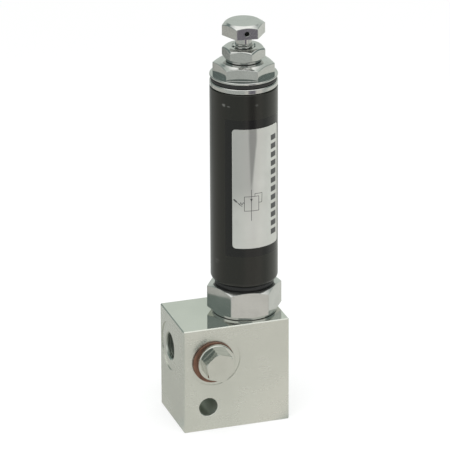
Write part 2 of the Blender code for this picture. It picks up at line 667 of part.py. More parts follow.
def coil(name, wire, radius, low, high, turns, steps_per_turn, parts, mat):
    """Compression spring with one closed turn at each end; the turns between share what height is left."""
    first = low + wire
    last = high - wire
    closed_pitch = 2 * wire + GAP
    open_pitch = (last - first - 2 * closed_pitch) / (turns - 2)
    count = round(turns * steps_per_turn)
    curve = bpy.data.curves.new(name, "CURVE")
    curve.dimensions = "3D"
    curve.bevel_depth = wire
    curve.bevel_resolution = 2
    curve.use_fill_caps = True
    spline = curve.splines.new("POLY")
    spline.points.add(count)
    for i in range(count + 1):
        turn = turns * i / count
        height = closed_pitch * (min(turn, 1.0) + max(turn - (turns - 1), 0.0))
        height += open_pitch * min(max(turn - 1.0, 0.0), turns - 2)
        angle = math.tau * turn
        spline.points[i].co = (radius * math.cos(angle), radius * math.sin(angle), height, 1.0)
    obj = add_object(name, curve, parts, mat)
    obj.location = (AXIS_X, 0.0, first)
    return obj


def make_housing(parts, mat):
    lower_thread_top = HOUSING_BOTTOM + HOUSING_LOWER_THREAD
    upper_thread_bottom = HOUSING_TOP - HOUSING_UPPER_THREAD
    step = HOUSING_BORE_RADIUS - HOUSING_THREAD_RADIUS
    points = [
        (HOUSING_RADIUS - HOUSING_TOP_CHAMFER, HOUSING_TOP),
        (HOUSING_RADIUS, HOUSING_TOP - HOUSING_TOP_CHAMFER),
    ]
    for i in range(SHOULDER_STEPS + 1):
        angle = math.radians(90) * i / SHOULDER_STEPS
        points.append((
            HOUSING_RADIUS - HOUSING_SHOULDER * (1 - math.cos(angle)),
            HOUSING_BOTTOM + HOUSING_SHOULDER * (1 - math.sin(angle)),
        ))
    points += [
        (HOUSING_THREAD_RADIUS, HOUSING_BOTTOM),
        (HOUSING_THREAD_RADIUS, lower_thread_top - step),
        (HOUSING_BORE_RADIUS, lower_thread_top),
        (HOUSING_BORE_RADIUS, upper_thread_bottom),
        (HOUSING_THREAD_RADIUS, upper_thread_bottom + step),
        (HOUSING_THREAD_RADIUS, HOUSING_TOP),
    ]
    turned("spring_housing", points, parts, mat, base=HOUSING_BOTTOM, ring=True)


def sealing_ring(name, inner, outer, low, high, parts, mat):
    """A rubber ring squeezed between two faces, so that its outer side bulges."""
    half = (high - low) / 2
    bulge = min(half, RING_BULGE)
    middle = (low + high) / 2
    points = []
    for i in range(BULGE_STEPS + 1):
        angle = math.radians(90 - 180 * i / BULGE_STEPS)
        points.append((outer - bulge * (1 - math.cos(angle)), middle + half * math.sin(angle)))
    points += [(inner, low), (inner, high)]
    turned(name, points, parts, mat, base=low, ring=True)


def make_springs_and_seats(parts, bright, spring_steel):
    coil(
        "main_spring", SPRING_WIRE_RADIUS, SPRING_COIL_RADIUS, SPRING_BOTTOM, SPRING_TOP,
        SPRING_TURNS, SPRING_STEPS_PER_TURN, parts, spring_steel,
    )
    pocket = PISTON_RADIUS + GAP
    boss_top = LOWER_SEAT_TOP + SPRING_SEAT_BOSS_LENGTH
    points = [
        (0.0, boss_top),
        (SPRING_SEAT_BOSS_RADIUS - SPRING_SEAT_CHAMFER, boss_top),
        (SPRING_SEAT_BOSS_RADIUS, boss_top - SPRING_SEAT_CHAMFER),
        (SPRING_SEAT_BOSS_RADIUS, LOWER_SEAT_TOP),
        (SPRING_SEAT_RADIUS, LOWER_SEAT_TOP),
        (SPRING_SEAT_RADIUS, LOWER_SEAT_BOTTOM + SPRING_SEAT_CHAMFER),
        (SPRING_SEAT_RADIUS - SPRING_SEAT_CHAMFER, LOWER_SEAT_BOTTOM),
        (pocket, LOWER_SEAT_BOTTOM),
        (pocket, PISTON_TOP + GAP),
        (0.0, PISTON_TOP + GAP),
    ]
    turned("lower_spring_seat", points, parts, bright, base=LOWER_SEAT_BOTTOM, steps=INNER_STEPS)

    boss_bottom = UPPER_SEAT_BOTTOM - SPRING_SEAT_BOSS_LENGTH
    points = [
        (0.0, UPPER_SEAT_TOP - THRUST_CUP_RADIUS),
        (THRUST_CUP_RADIUS, UPPER_SEAT_TOP),
        (SPRING_SEAT_RADIUS - SPRING_SEAT_CHAMFER, UPPER_SEAT_TOP),
        (SPRING_SEAT_RADIUS, UPPER_SEAT_TOP - SPRING_SEAT_CHAMFER),
        (SPRING_SEAT_RADIUS, UPPER_SEAT_BOTTOM),
        (SPRING_SEAT_BOSS_RADIUS, UPPER_SEAT_BOTTOM),
        (SPRING_SEAT_BOSS_RADIUS, boss_bottom + SPRING_SEAT_CHAMFER),
        (SPRING_SEAT_BOSS_RADIUS - SPRING_SEAT_CHAMFER, boss_bottom),
        (0.0, boss_bottom),
    ]
    turned("upper_spring_seat", points, parts, bright, base=UPPER_SEAT_BOTTOM, steps=INNER_STEPS)
    ball("thrust_ball", THRUST_BALL_RADIUS, THRUST_BALL_CENTRE, parts, bright)


def make_cap(parts, cutters, zinc, rubber):
    clamp_bore = CAP_NECK_RADIUS + CLAMP_RING_BORE_GAP
    clamp_top = CAP_SHOULDER + CLAMP_RING_HEIGHT
    ring = [
        (HOUSING_RADIUS - CLAMP_RING_CHAMFER, clamp_top),
        (HOUSING_RADIUS, clamp_top - CLAMP_RING_CHAMFER),
        (HOUSING_RADIUS, CAP_SHOULDER + CLAMP_RING_CHAMFER),
        (HOUSING_RADIUS - CLAMP_RING_CHAMFER, CAP_SHOULDER),
        (clamp_bore, CAP_SHOULDER),
        (clamp_bore, clamp_top),
    ]
    turned("clamp_ring", ring, parts, zinc, base=CAP_SHOULDER, ring=True)
    sealing_ring("cap_o_ring", CAP_NECK_RADIUS + GAP, CAP_RING_RADIUS, clamp_top + GAP, CAP_FLANGE_BOTTOM - GAP,
                 parts, rubber)

    corner = CAP_HEX / math.sqrt(3)
    relief = UPPER_THREAD_RADIUS - CAP_RELIEF_DEPTH
    points = [
        (CAP_CROWN_RADIUS, CAP_TOP),
        (CAP_CROWN_MIDDLE_RADIUS, CAP_TOP - CAP_CROWN_MIDDLE_DROP),
        (corner, CAP_TOP - CAP_CROWN_DROP),
        (corner, CAP_FLANGE_TOP),
        (CAP_FLANGE_RADIUS - CAP_FLANGE_CHAMFER, CAP_FLANGE_TOP),
        (CAP_FLANGE_RADIUS, CAP_FLANGE_TOP - CAP_FLANGE_CHAMFER),
        (CAP_FLANGE_RADIUS, CAP_FLANGE_BOTTOM + CAP_FLANGE_CHAMFER),
        (CAP_FLANGE_RADIUS - CAP_FLANGE_CHAMFER, CAP_FLANGE_BOTTOM),
        (CAP_NECK_RADIUS, CAP_FLANGE_BOTTOM),
        (CAP_NECK_RADIUS, CAP_SHOULDER),
        (relief, CAP_SHOULDER),
        (relief, CAP_SHOULDER - CAP_RELIEF_LENGTH),
        (UPPER_THREAD_RADIUS, CAP_SHOULDER - CAP_RELIEF_LENGTH - THREAD_CHAMFER),
        (UPPER_THREAD_RADIUS, CAP_SPIGOT_BOTTOM + THREAD_CHAMFER),
        (UPPER_THREAD_RADIUS - THREAD_CHAMFER, CAP_SPIGOT_BOTTOM),
        (SCREW_HOLE_RADIUS, CAP_SPIGOT_BOTTOM),
        (SCREW_HOLE_RADIUS, CAP_TOP),
    ]
    cap = turned(
        "top_cap", points, parts, zinc, base=CAP_FLANGE_BOTTOM, ring=True, steps=2 * HEX_STEPS, turn=CAP_HEX_TURN,
    )
    mill_hexagon(cap, CAP_HEX, CAP_FLANGE_TOP, CAP_TOP + GAP, CAP_HEX_TURN, cutters)


def make_adjuster(parts, cutters, zinc):
    corner = NUT_HEX / math.sqrt(3)
    sink = SCREW_HOLE_RADIUS + NUT_COUNTERSINK
    points = [
        (NUT_FACE_RADIUS, NUT_TOP),
        (corner, NUT_TOP - NUT_CHAMFER),
        (corner, NUT_BOTTOM + NUT_CHAMFER),
        (NUT_FACE_RADIUS, NUT_BOTTOM),
        (sink, NUT_BOTTOM),
        (SCREW_HOLE_RADIUS, NUT_BOTTOM + NUT_COUNTERSINK),
        (SCREW_HOLE_RADIUS, NUT_TOP - NUT_COUNTERSINK),
        (sink, NUT_TOP),
    ]
    nut = turned(
        "lock_nut", points, parts, zinc, base=NUT_BOTTOM, ring=True, steps=HEX_STEPS, turn=NUT_HEX_TURN,
    )
    mill_hexagon(nut, NUT_HEX, NUT_BOTTOM - GAP / 2, NUT_TOP + GAP, NUT_HEX_TURN, cutters)

    neck_bottom = HEAD_BOTTOM - SCREW_NECK_LENGTH
    tip_top = SCREW_TIP + SCREW_TIP_LENGTH
    step = SCREW_RADIUS - SCREW_TIP_RADIUS
    neck_step = SCREW_RADIUS - SCREW_NECK_RADIUS
    points = [
        (0.0, HEAD_TOP),
        (SCREW_CROWN_RADIUS, HEAD_TOP),
        (SCREW_CROWN_MIDDLE_RADIUS, HEAD_TOP - SCREW_CROWN_MIDDLE_DROP),
        (SCREW_HEX_CORNER, HEAD_TOP - SCREW_CROWN_DROP),
        (SCREW_HEX_CORNER, HEAD_BOTTOM),
        (SCREW_NECK_RADIUS, HEAD_BOTTOM),
        (SCREW_NECK_RADIUS, neck_bottom),
        (SCREW_RADIUS, neck_bottom - neck_step),
        (SCREW_RADIUS, tip_top + step),
        (SCREW_TIP_RADIUS, tip_top),
        (SCREW_TIP_RADIUS, SCREW_TIP),
        (THRUST_CUP_RADIUS, SCREW_TIP),
        (0.0, SCREW_TIP + THRUST_CUP_RADIUS),
    ]
    screw = turned(
        "adjusting_screw", points, parts, zinc, base=HEAD_BOTTOM, steps=HEX_STEPS, turn=SCREW_HEX_TURN,
    )
    mill_hexagon(screw, SCREW_HEX, HEAD_BOTTOM - GAP / 2, HEAD_TOP + GAP, SCREW_HEX_TURN, cutters)
    drill_across(
        screw, "seal_wire_hole", WIRE_HOLE_RADIUS, SCREW_HEX_CORNER + OVERCUT, HEAD_BOTTOM + WIRE_HOLE_HEIGHT,
        SCREW_HEX_TURN, cutters, steps=SMALL_DRILL_STEPS,
    )


def make_plug(parts, cutters, zinc, copper):
    """Built upright and laid on its side: local Z points out of the front face."""
    floor = -SPOTFACE_DEPTH
    washer_low = floor + GAP
    washer_high = washer_low + WASHER_THICKNESS
    collar_low = washer_high + GAP
    collar_high = collar_low + PLUG_COLLAR_THICKNESS
    head_high = collar_high + PLUG_HEX_HEIGHT
    corner = PLUG_HEX / math.sqrt(3)
    out_of_front = Matrix.Translation((GAUGE_X, -BLOCK_DEPTH / 2, OUTLET_Z)) @ Matrix.Rotation(
        math.radians(90), 4, "X")

    washer = turned(
        "plug_washer",
        flat_ring_profile(
            PLUG_THREAD_RADIUS + WASHER_SLACK, WASHER_RADIUS, washer_low, washer_high, WASHER_THICKNESS / 4),
        parts, copper, ring=True, steps=HEX_STEPS,
    )
    drift = Matrix.Rotation(WASHER_DRIFT_TURN, 4, "Z") @ Matrix.Translation((WASHER_DRIFT, 0.0, 0.0))
    washer.matrix_world = out_of_front @ drift
    points = [
        (0.0, head_high),
        (corner - 2 * PLUG_CHAMFER, head_high),
        (corner, head_high - PLUG_CHAMFER),
        (corner, collar_high),
        (PLUG_COLLAR_RADIUS - PLUG_COLLAR_THICKNESS / 6, collar_high),
        (PLUG_COLLAR_RADIUS, collar_high - PLUG_COLLAR_THICKNESS / 6),
        (PLUG_COLLAR_RADIUS, collar_low),
        (PLUG_THREAD_RADIUS, collar_low),
        (PLUG_THREAD_RADIUS, collar_low - PLUG_THREAD_LENGTH + THREAD_CHAMFER),
        (PLUG_THREAD_RADIUS - THREAD_CHAMFER, collar_low - PLUG_THREAD_LENGTH),
        (0.0, collar_low - PLUG_THREAD_LENGTH),
    ]
    plug = turned("port_plug", points, parts, zinc, steps=HEX_STEPS)
    plug.matrix_world = out_of_front @ Matrix.Rotation(PLUG_HEX_TURN, 4, "Z")
    mill_hexagon(plug, PLUG_HEX, collar_high, head_high + GAP, PLUG_HEX_TURN, cutters, tilt=out_of_front)


def make_label(parts, mat):
    """A sheet with rounded corners, wrapped round the housing."""
    inner = HOUSING_RADIUS + LABEL_GAP
    low = HOUSING_BOTTOM + LABEL_BASE
    mesh = bpy.data.meshes.new("label")
    shape = bmesh.new()
    bmesh.ops.create_grid(shape, x_segments=LABEL_COLUMNS, y_segments=1, size=0.5)
    corners = [v for v in shape.verts if abs(abs(v.co.x) - 0.5) < 1e-6]
    bmesh.ops.scale(shape, vec=(LABEL_WIDTH, LABEL_HEIGHT, 1.0), verts=shape.verts)
    bmesh.ops.bevel(
        shape, geom=corners, offset=LABEL_CORNER, segments=3, profile=0.5, affect="VERTICES", clamp_overlap=True,
    )
    for vert in shape.verts:
        angle = LABEL_LEFT + (vert.co.x + LABEL_WIDTH / 2) / inner
        height = vert.co.y + LABEL_HEIGHT / 2
        vert.co = (inner * math.cos(angle), inner * math.sin(angle), height)
    shape.to_mesh(mesh)
    shape.free()
    label = add_object("label", mesh, parts, mat)
    label.location = (AXIS_X, 0.0, low)
    thick = label.modifiers.new("Thickness", "SOLIDIFY")
    thick.thickness = LABEL_THICKNESS
    thick.offset = 1.0


def shade_round(parts):
    """Apply each mesh's modifiers and smooth it, with its corners left sharp."""
    graph = bpy.context.evaluated_depsgraph_get()
    shapes = {
        obj: bpy.data.meshes.new_from_object(obj.evaluated_get(graph))
        for obj in parts.objects
        if obj.type == "MESH"
    }
    for obj, mesh in shapes.items():
        obj.modifiers.clear()
        obj.data = mesh
        mesh.shade_smooth()
        mesh.set_sharp_from_angle(angle=math.radians(30))


def main():
    clear_scene()
    parts = new_collection("pressure_control_valve")
    cutters = new_collection("cutters")

    zinc = steel("zinc_plated_steel", (0.72, 0.72, 0.68), 0.28)
    bright = steel("ground_steel", (0.62, 0.62, 0.62), 0.2)
    spring_steel = steel("spring_steel", (0.25, 0.25, 0.26), 0.45)
    copper = steel("tarnished_copper", (0.36, 0.19, 0.14), 0.45)
    black = principled("black_enamel", (0.03, 0.03, 0.028), 0.35, 0.0)
    rubber = principled("nitrile_rubber", (0.012, 0.012, 0.012), 0.5, 0.0)
    plastic = principled("seal_plastic", (0.75, 0.73, 0.66), 0.5, 0.0)
    silver = principled("silver_film", (0.66, 0.66, 0.63), 0.35, 0.6)

    make_block(parts, cutters, zinc)
    make_cartridge(parts, cutters, zinc)
    make_seals(parts, rubber, plastic)
    make_poppet(parts, cutters, bright, spring_steel)
    make_piston(parts, bright)
    sealing_ring(
        "neck_o_ring", UPPER_RELIEF_RADIUS + GAP, NECK_RING_RADIUS, HEX_TOP + GAP, HOUSING_BOTTOM - GAP,
        parts, rubber,
    )
    make_housing(parts, black)
    make_springs_and_seats(parts, bright, spring_steel)
    make_cap(parts, cutters, zinc, rubber)
    make_adjuster(parts, cutters, zinc)
    make_plug(parts, cutters, zinc, copper)
    make_label(parts, silver)
    shade_round(parts)


main()
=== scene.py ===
import math

import bmesh
import bpy
import numpy as np
from mathutils import Matrix, Vector


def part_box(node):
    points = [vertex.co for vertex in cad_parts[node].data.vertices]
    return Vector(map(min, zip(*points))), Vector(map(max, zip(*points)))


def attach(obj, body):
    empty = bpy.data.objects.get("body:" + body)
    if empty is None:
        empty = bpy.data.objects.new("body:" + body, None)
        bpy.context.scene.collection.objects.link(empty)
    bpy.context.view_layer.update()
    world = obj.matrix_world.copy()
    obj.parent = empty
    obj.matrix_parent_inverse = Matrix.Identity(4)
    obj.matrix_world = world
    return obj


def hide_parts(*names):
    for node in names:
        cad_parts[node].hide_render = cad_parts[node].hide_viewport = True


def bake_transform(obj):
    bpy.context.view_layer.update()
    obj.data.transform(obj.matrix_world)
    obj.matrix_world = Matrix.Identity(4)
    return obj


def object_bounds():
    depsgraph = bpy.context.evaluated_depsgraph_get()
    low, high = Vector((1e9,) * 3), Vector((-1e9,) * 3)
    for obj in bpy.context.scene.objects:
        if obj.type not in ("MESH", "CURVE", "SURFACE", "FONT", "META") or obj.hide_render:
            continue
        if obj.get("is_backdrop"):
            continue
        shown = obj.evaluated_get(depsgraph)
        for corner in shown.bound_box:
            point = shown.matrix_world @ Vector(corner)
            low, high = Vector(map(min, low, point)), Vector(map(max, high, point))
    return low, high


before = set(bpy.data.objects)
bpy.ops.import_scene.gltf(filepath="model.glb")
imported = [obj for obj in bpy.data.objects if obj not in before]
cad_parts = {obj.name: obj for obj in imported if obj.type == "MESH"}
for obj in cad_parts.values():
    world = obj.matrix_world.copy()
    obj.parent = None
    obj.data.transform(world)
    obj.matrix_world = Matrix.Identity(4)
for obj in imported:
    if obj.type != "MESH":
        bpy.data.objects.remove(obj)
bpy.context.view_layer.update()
print("frame loaded:", len(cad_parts), "nodes")

mm = 0.001


def inMm(**lengths):
    # A dictionary of lengths that are given in mm and kept in metres
    return {name: np.array(value) * mm for name, value in lengths.items()}


# Lines that everything is set out from, read from the frame
housingLow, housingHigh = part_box("spring_housing")
blockLow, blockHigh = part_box("valve_block")
screwLow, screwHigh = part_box("adjusting_screw")
nutLow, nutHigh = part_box("lock_nut")
capLow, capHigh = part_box("top_cap")
bodyLow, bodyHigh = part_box("cartridge_body")
plugLow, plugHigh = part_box("port_plug")
clampLow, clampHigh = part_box("clamp_ring")
labelLow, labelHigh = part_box("label")
axisX = (housingLow.x + housingHigh.x) / 2
housingRadius = (housingHigh.x - housingLow.x) / 2
plugX = (plugLow.x + plugHigh.x) / 2
plugZ = (plugLow.z + plugHigh.z) / 2
frontY = blockLow.y
blockTop = blockHigh.z


def addObject(name, data):
    made = bpy.data.objects.new(name, data)
    bpy.context.scene.collection.objects.link(made)
    return made


# Camera at the photograph's angle

photoView = {
    "azimuth": -18.0657,
    "elevation": 22.4783,
    "roll": -0.280,
    "distance": 2.30339,
    "target": (0.000625, 0.0, 0.116805),
    "focalPixels": 4032.59,
    "imagePixels": 450,
    "sensor": 36.0,
    "clip": (0.1, 20.0),
}


def makeCamera(view):
    azimuth, elevation, roll = (math.radians(view[angle]) for angle in ("azimuth", "elevation", "roll"))
    turn = Matrix.Rotation(azimuth, 4, "Z") @ Matrix.Rotation(math.pi / 2 - elevation, 4, "X")
    turn = turn @ Matrix.Rotation(roll, 4, "Z")
    data = bpy.data.cameras.new("camera")
    data.sensor_width = view["sensor"]
    data.lens = view["sensor"] * view["focalPixels"] / view["imagePixels"]
    data.clip_start, data.clip_end = view["clip"]
    camera = addObject("camera", data)
    place = Vector(view["target"]) + turn.col[2].xyz * view["distance"]
    camera.matrix_world = Matrix.Translation(place) @ turn
    bpy.context.scene.camera = camera


makeCamera(photoView)
print("camera placed")


# Surfaces: every one is a grid of points, worked out as whole arrays

def circle(columns=144):
    # Angles evenly round a full turn, with the first repeated at the end
    return np.linspace(0.0, math.tau, columns + 1)


def hexagon(acrossFlats, turn, cornerRadius=0.3 * mm, flatSteps=14, cornerSteps=5):
    # One sixth is a flat at half the width across flats, then an arc round the corner; turned by 60 degrees
    # six times. Gives the angle of each column and its distance from the axis.
    half = acrossFlats / 2
    straight = (half - cornerRadius) * math.tan(math.radians(30))
    flat = half + 1j * np.linspace(-straight, straight, flatSteps + 1)
    arc = np.radians(60.0) * np.arange(1, cornerSteps) / cornerSteps
    corner = (half - cornerRadius) + 1j * straight + cornerRadius * np.exp(1j * arc)
    sixth = np.concatenate([flat, corner])
    turns = np.exp(1j * (turn + np.radians(60.0) * np.arange(6)))
    outline = (turns[:, None] * sixth[None, :]).reshape(-1)
    outline = np.append(outline, outline[0])
    angles = np.unwrap(np.angle(outline))
    return angles, np.abs(outline)


def profileGrid(profile, angles, soft, loop, softSteps=3):
    # Each corner P of the profile becomes the curve (1-s)^2 A + 2s(1-s) P + s^2 B, where A and B lie `soft`
    # from P towards its neighbours; a row a little beyond A and B keeps the faces next to it flat in shade.
    # A corner is (radius, height) or (radius, height, soft); either may differ by column.
    curveShare, beyond, beyondShare = 0.42, 1.4, 0.48  # of a side, of the curve's reach, of a side
    zero = np.zeros(len(angles))
    points = np.array([np.stack([zero + corner[0], zero + corner[1]], axis=1) for corner in profile])
    last = len(profile) - 1
    rows = []
    for k, corner in enumerate(profile):
        reach = corner[2] if len(corner) > 2 else soft
        if reach == 0 or (not loop and k in (0, last)):
            rows.append(points[k])
            continue
        back, ahead = points[k - 1] - points[k], points[(k + 1) % len(profile)] - points[k]
        backLength = np.maximum(np.linalg.norm(back, axis=1, keepdims=True), 1e-9)
        aheadLength = np.maximum(np.linalg.norm(ahead, axis=1, keepdims=True), 1e-9)
        cut = np.minimum(reach, curveShare * np.minimum(backLength, aheadLength))
        start, end = points[k] + back / backLength * cut, points[k] + ahead / aheadLength * cut
        rows.append(points[k] + back / backLength * np.minimum(beyond * cut, beyondShare * backLength))
        for s in np.linspace(0.0, 1.0, softSteps + 1):
            rows.append((1 - s) ** 2 * start + 2 * s * (1 - s) * points[k] + s ** 2 * end)
        rows.append(points[k] + ahead / aheadLength * np.minimum(beyond * cut, beyondShare * aheadLength))
    if loop:
        rows.append(rows[0])
    return np.array(rows)


def turnGrid(grid, angles):
    # x = radius cos(angle), y = radius sin(angle), z = height
    radius, height = grid[..., 0], grid[..., 1]
    return np.stack([radius * np.cos(angles), radius * np.sin(angles), height], axis=-1)


def threadGrid(angles, low, high, root, crest, pitch, taper=0.0, steps=10):
    # Row j of column a lies at low + (j / steps + turn(a) - 1) pitches, held between low and high. The radius
    # rises from root to crest as a flattened wave of the height less the helix's own rise, and fades to the
    # root at both ends.
    rootFlat, flank = 0.16, 0.70  # shares of half a pitch
    rows = int(math.ceil((high - low) / pitch + 1)) * steps + 1
    turnShare = (angles - angles[0]) / math.tau
    height = low + (np.arange(rows)[:, None] / steps + turnShare[None, :] - 1) * pitch
    height = np.clip(height, low, high)
    phase = ((height - low) / pitch - turnShare[None, :]) % 1.0
    wave = np.clip((np.abs(2 * phase - 1) - rootFlat) / flank, 0.0, 1.0)
    fade = np.clip(np.minimum(height - low, high - height) / abs(crest - root), 0.0, 1.0)
    radius = root + (crest - root) * np.minimum(wave, fade) + taper * (height - low)
    return np.stack([radius, height], axis=-1)


def rimRows(outline, face, bends, rows=5, soft=0.12 * mm):
    # Rows from the rim's circle out to the flats: radius = start + t (outline - start) and
    # height = face + offset(radius), with the offset read off a bent line through the (radius, offset) bends
    radii, offsets = np.array(bends).T
    start = np.minimum(radii[0], outline - 0.05 * mm)
    found = []
    for t in np.linspace(0.0, 1.0, rows):
        radius = start + t * (outline - start)
        found.append((radius, face + np.interp(radius, radii, offsets), soft if t in (0.0, 1.0) else 0.0))
    return found


def smoothShade(mesh, sharp=26.0):
    mesh.shade_smooth()
    mesh.set_sharp_from_angle(angle=math.radians(sharp))
    return mesh


def meshFromGrids(name, grids, sharp=26.0):
    # Point (i, j) of a grid joins (i+1, j), (i+1, j+1) and (i, j+1); points that coincide are merged
    points = np.concatenate([grid.reshape(-1, 3) for grid in grids])
    quads, start = [], 0
    for grid in grids:
        index = start + np.arange(grid.shape[0] * grid.shape[1]).reshape(grid.shape[:2])
        corners = [index[:-1, :-1], index[:-1, 1:], index[1:, 1:], index[1:, :-1]]
        quads.append(np.stack(corners, axis=-1).reshape(-1, 4))
        start += index.size
    quads = np.concatenate(quads)
    mesh = bpy.data.meshes.new(name)
    mesh.vertices.add(len(points))
    mesh.vertices.foreach_set("co", points.astype(np.float32).ravel())
    mesh.loops.add(quads.size)
    mesh.loops.foreach_set("vertex_index", quads.astype(np.int32).ravel())
    mesh.polygons.add(len(quads))
    mesh.polygons.foreach_set("loop_start", np.arange(0, quads.size, 4, dtype=np.int32))
    mesh.update(calc_edges=True)
    work = bmesh.new()
    work.from_mesh(mesh)
    bmesh.ops.remove_doubles(work, verts=work.verts, dist=0.001 * mm)
    bmesh.ops.dissolve_degenerate(work, edges=work.edges, dist=0.0005 * mm)
    bmesh.ops.recalc_face_normals(work, faces=work.faces)
    work.to_mesh(mesh)
    work.free()
    return smoothShade(mesh, sharp)


def laid(origin, x=(1, 0, 0), y=(0, 1, 0), z=(0, 0, 1)):
    # Carries a grid to the origin given, with its own axes along x, y and z
    return lambda grid: grid @ np.array([x, y, z], dtype=float) + np.array(origin)


def outOfFront(x, z):
    return laid((x, frontY, z), y=(0, 0, 1), z=(0, -1, 0))


def acrossAxis(turn, height):
    # Lays a turned grid on its side, so that its own axis crosses the valve's
    along = (math.cos(turn), math.sin(turn), 0)
    return laid((axisX, 0.0, height), x=(-math.sin(turn), math.cos(turn), 0), y=(0, 0, 1), z=along)


onAxis = laid((axisX, 0.0, 0.0))


def turnedMesh(name, profile, soft=0.15 * mm, loop=True, columns=144, angles=None, place=onAxis):
    angles = circle(columns) if angles is None else angles
    grid = profileGrid(profile, angles, soft, loop)
    return meshFromGrids(name, [place(turnGrid(grid, angles))])


def addPiece(name, mesh, mat, body=None, replaces=()):
    piece = addObject(name, mesh)
    mesh.materials.append(mat)
    if body:
        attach(piece, body)
    if replaces:
        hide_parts(*replaces)
    return piece


def cutBy(piece, cutterMesh):
    cutter = addObject("cutter", cutterMesh)
    boolean = piece.modifiers.new("cut", "BOOLEAN")
    boolean.operation = "DIFFERENCE"
    boolean.solver = "EXACT"
    boolean.object = cutter
    bpy.context.view_layer.update()
    graph = bpy.context.evaluated_depsgraph_get()
    result = bpy.data.meshes.new_from_object(piece.evaluated_get(graph))
    piece.modifiers.clear()
    old = piece.data
    piece.data = result
    result.name = piece.name
    bpy.data.meshes.remove(old)
    bpy.data.objects.remove(cutter)
    bpy.data.meshes.remove(cutterMesh)
    smoothShade(piece.data)


# Materials: sums on sockets become nodes

class Wire:
    def __init__(self, tree, socket):
        self.tree = tree
        self.socket = socket

    def node(self, kind, settings=None, inputs=None, output=0):
        return addNode(self.tree, kind, settings, inputs, output)

    def maths(self, operation, *values):
        return self.node("ShaderNodeMath", {"operation": operation}, dict(enumerate(values)))

    def __add__(self, other): return self.maths("ADD", self, other)
    def __radd__(self, other): return self.maths("ADD", other, self)
    def __sub__(self, other): return self.maths("SUBTRACT", self, other)
    def __rsub__(self, other): return self.maths("SUBTRACT", other, self)
    def __mul__(self, other): return self.maths("MULTIPLY", self, other)
    def __rmul__(self, other): return self.maths("MULTIPLY", other, self)
    def __truediv__(self, other): return self.maths("DIVIDE", self, other)
    def __rtruediv__(self, other): return self.maths("DIVIDE", other, self)
    def __pow__(self, other): return self.maths("POWER", self, other)
    def __lt__(self, other): return self.maths("LESS_THAN", self, other)
    def __gt__(self, other): return self.maths("GREATER_THAN", self, other)
    def size(self): return self.maths("ABSOLUTE", self)
    def atLeast(self, other): return self.maths("MAXIMUM", self, other)
    def atMost(self, other): return self.maths("MINIMUM", self, other)


def fill(tree, socket, value):
    # A Wire is linked, and anything else is the socket's own value
    if isinstance(value, Wire):
        tree.links.new(value.socket, socket)
    elif socket.type == "RGBA":
        socket.default_value = (*value, 1.0)
    else:
        socket.default_value = value


def addNode(tree, kind, settings=None, inputs=None, output=0):
    # Settings are set first, then the inputs
    node = tree.nodes.new(kind)
    for name, value in (settings or {}).items():
        setattr(node, name, value)
    for name, value in (inputs or {}).items():
        fill(tree, node.inputs[name], value)
    return Wire(tree, node.outputs[output])


def newMaterial(name):
    mat = bpy.data.materials.new(name)
    mat.use_nodes = True
    tree = mat.node_tree
    place = addNode(tree, "ShaderNodeTexCoord", output="Object")  # in metres
    return mat, tree.nodes["Principled BSDF"], place


def feed(shader, **sockets):
    for name, value in sockets.items():
        fill(shader.id_data, shader.inputs[name.replace("_", " ")], value)


def axes(vector):
    # Its three parts
    parts = vector.node("ShaderNodeSeparateXYZ", None, {"Vector": vector}).socket.node
    return [Wire(vector.tree, output) for output in parts.outputs]


def smoothStep(value, low, high):
    edges = {0: value, 1: low, 2: high, 3: 0.0, 4: 1.0}
    return value.node("ShaderNodeMapRange", {"interpolation_type": "SMOOTHSTEP"}, edges)


def mixColor(factor, first, second):
    wire = next(w for w in (factor, first, second) if isinstance(w, Wire))
    return wire.node("ShaderNodeMix", {"data_type": "RGBA"}, {0: factor, 6: first, 7: second}, output=2)


def stretched(place, scale):
    return place.node("ShaderNodeMapping", {"vector_type": "POINT"}, {"Vector": place, "Scale": scale})


def noise(vector, scale, detail=2.0, rough=0.5):
    settings = {"Vector": vector, "Scale": scale, "Detail": detail, "Roughness": rough}
    return vector.node("ShaderNodeTexNoise", None, settings)


def bump(height, distance):
    return height.node("ShaderNodeBump", None, {"Strength": 1.0, "Distance": distance, "Height": height})


def facing(place):
    # How far a face looks up
    return axes(place.node("ShaderNodeNewGeometry", output="True Normal"))[2]


def within(across, upright, radius):
    # 1 nearer than `radius` to an axis, fading out over a tenth of it
    return smoothStep(across * across + upright * upright, (1.1 * radius) ** 2, radius ** 2)


# The label's place comes first, because the paint round it follows it
label = {
    "left": math.radians(-128.2), "mapUnit": 0.1,
    **inMm(width=31.0, corner=2.0, thickness=0.15, radius=19.45),
}
labelRight = label["left"] + label["width"] / label["radius"]

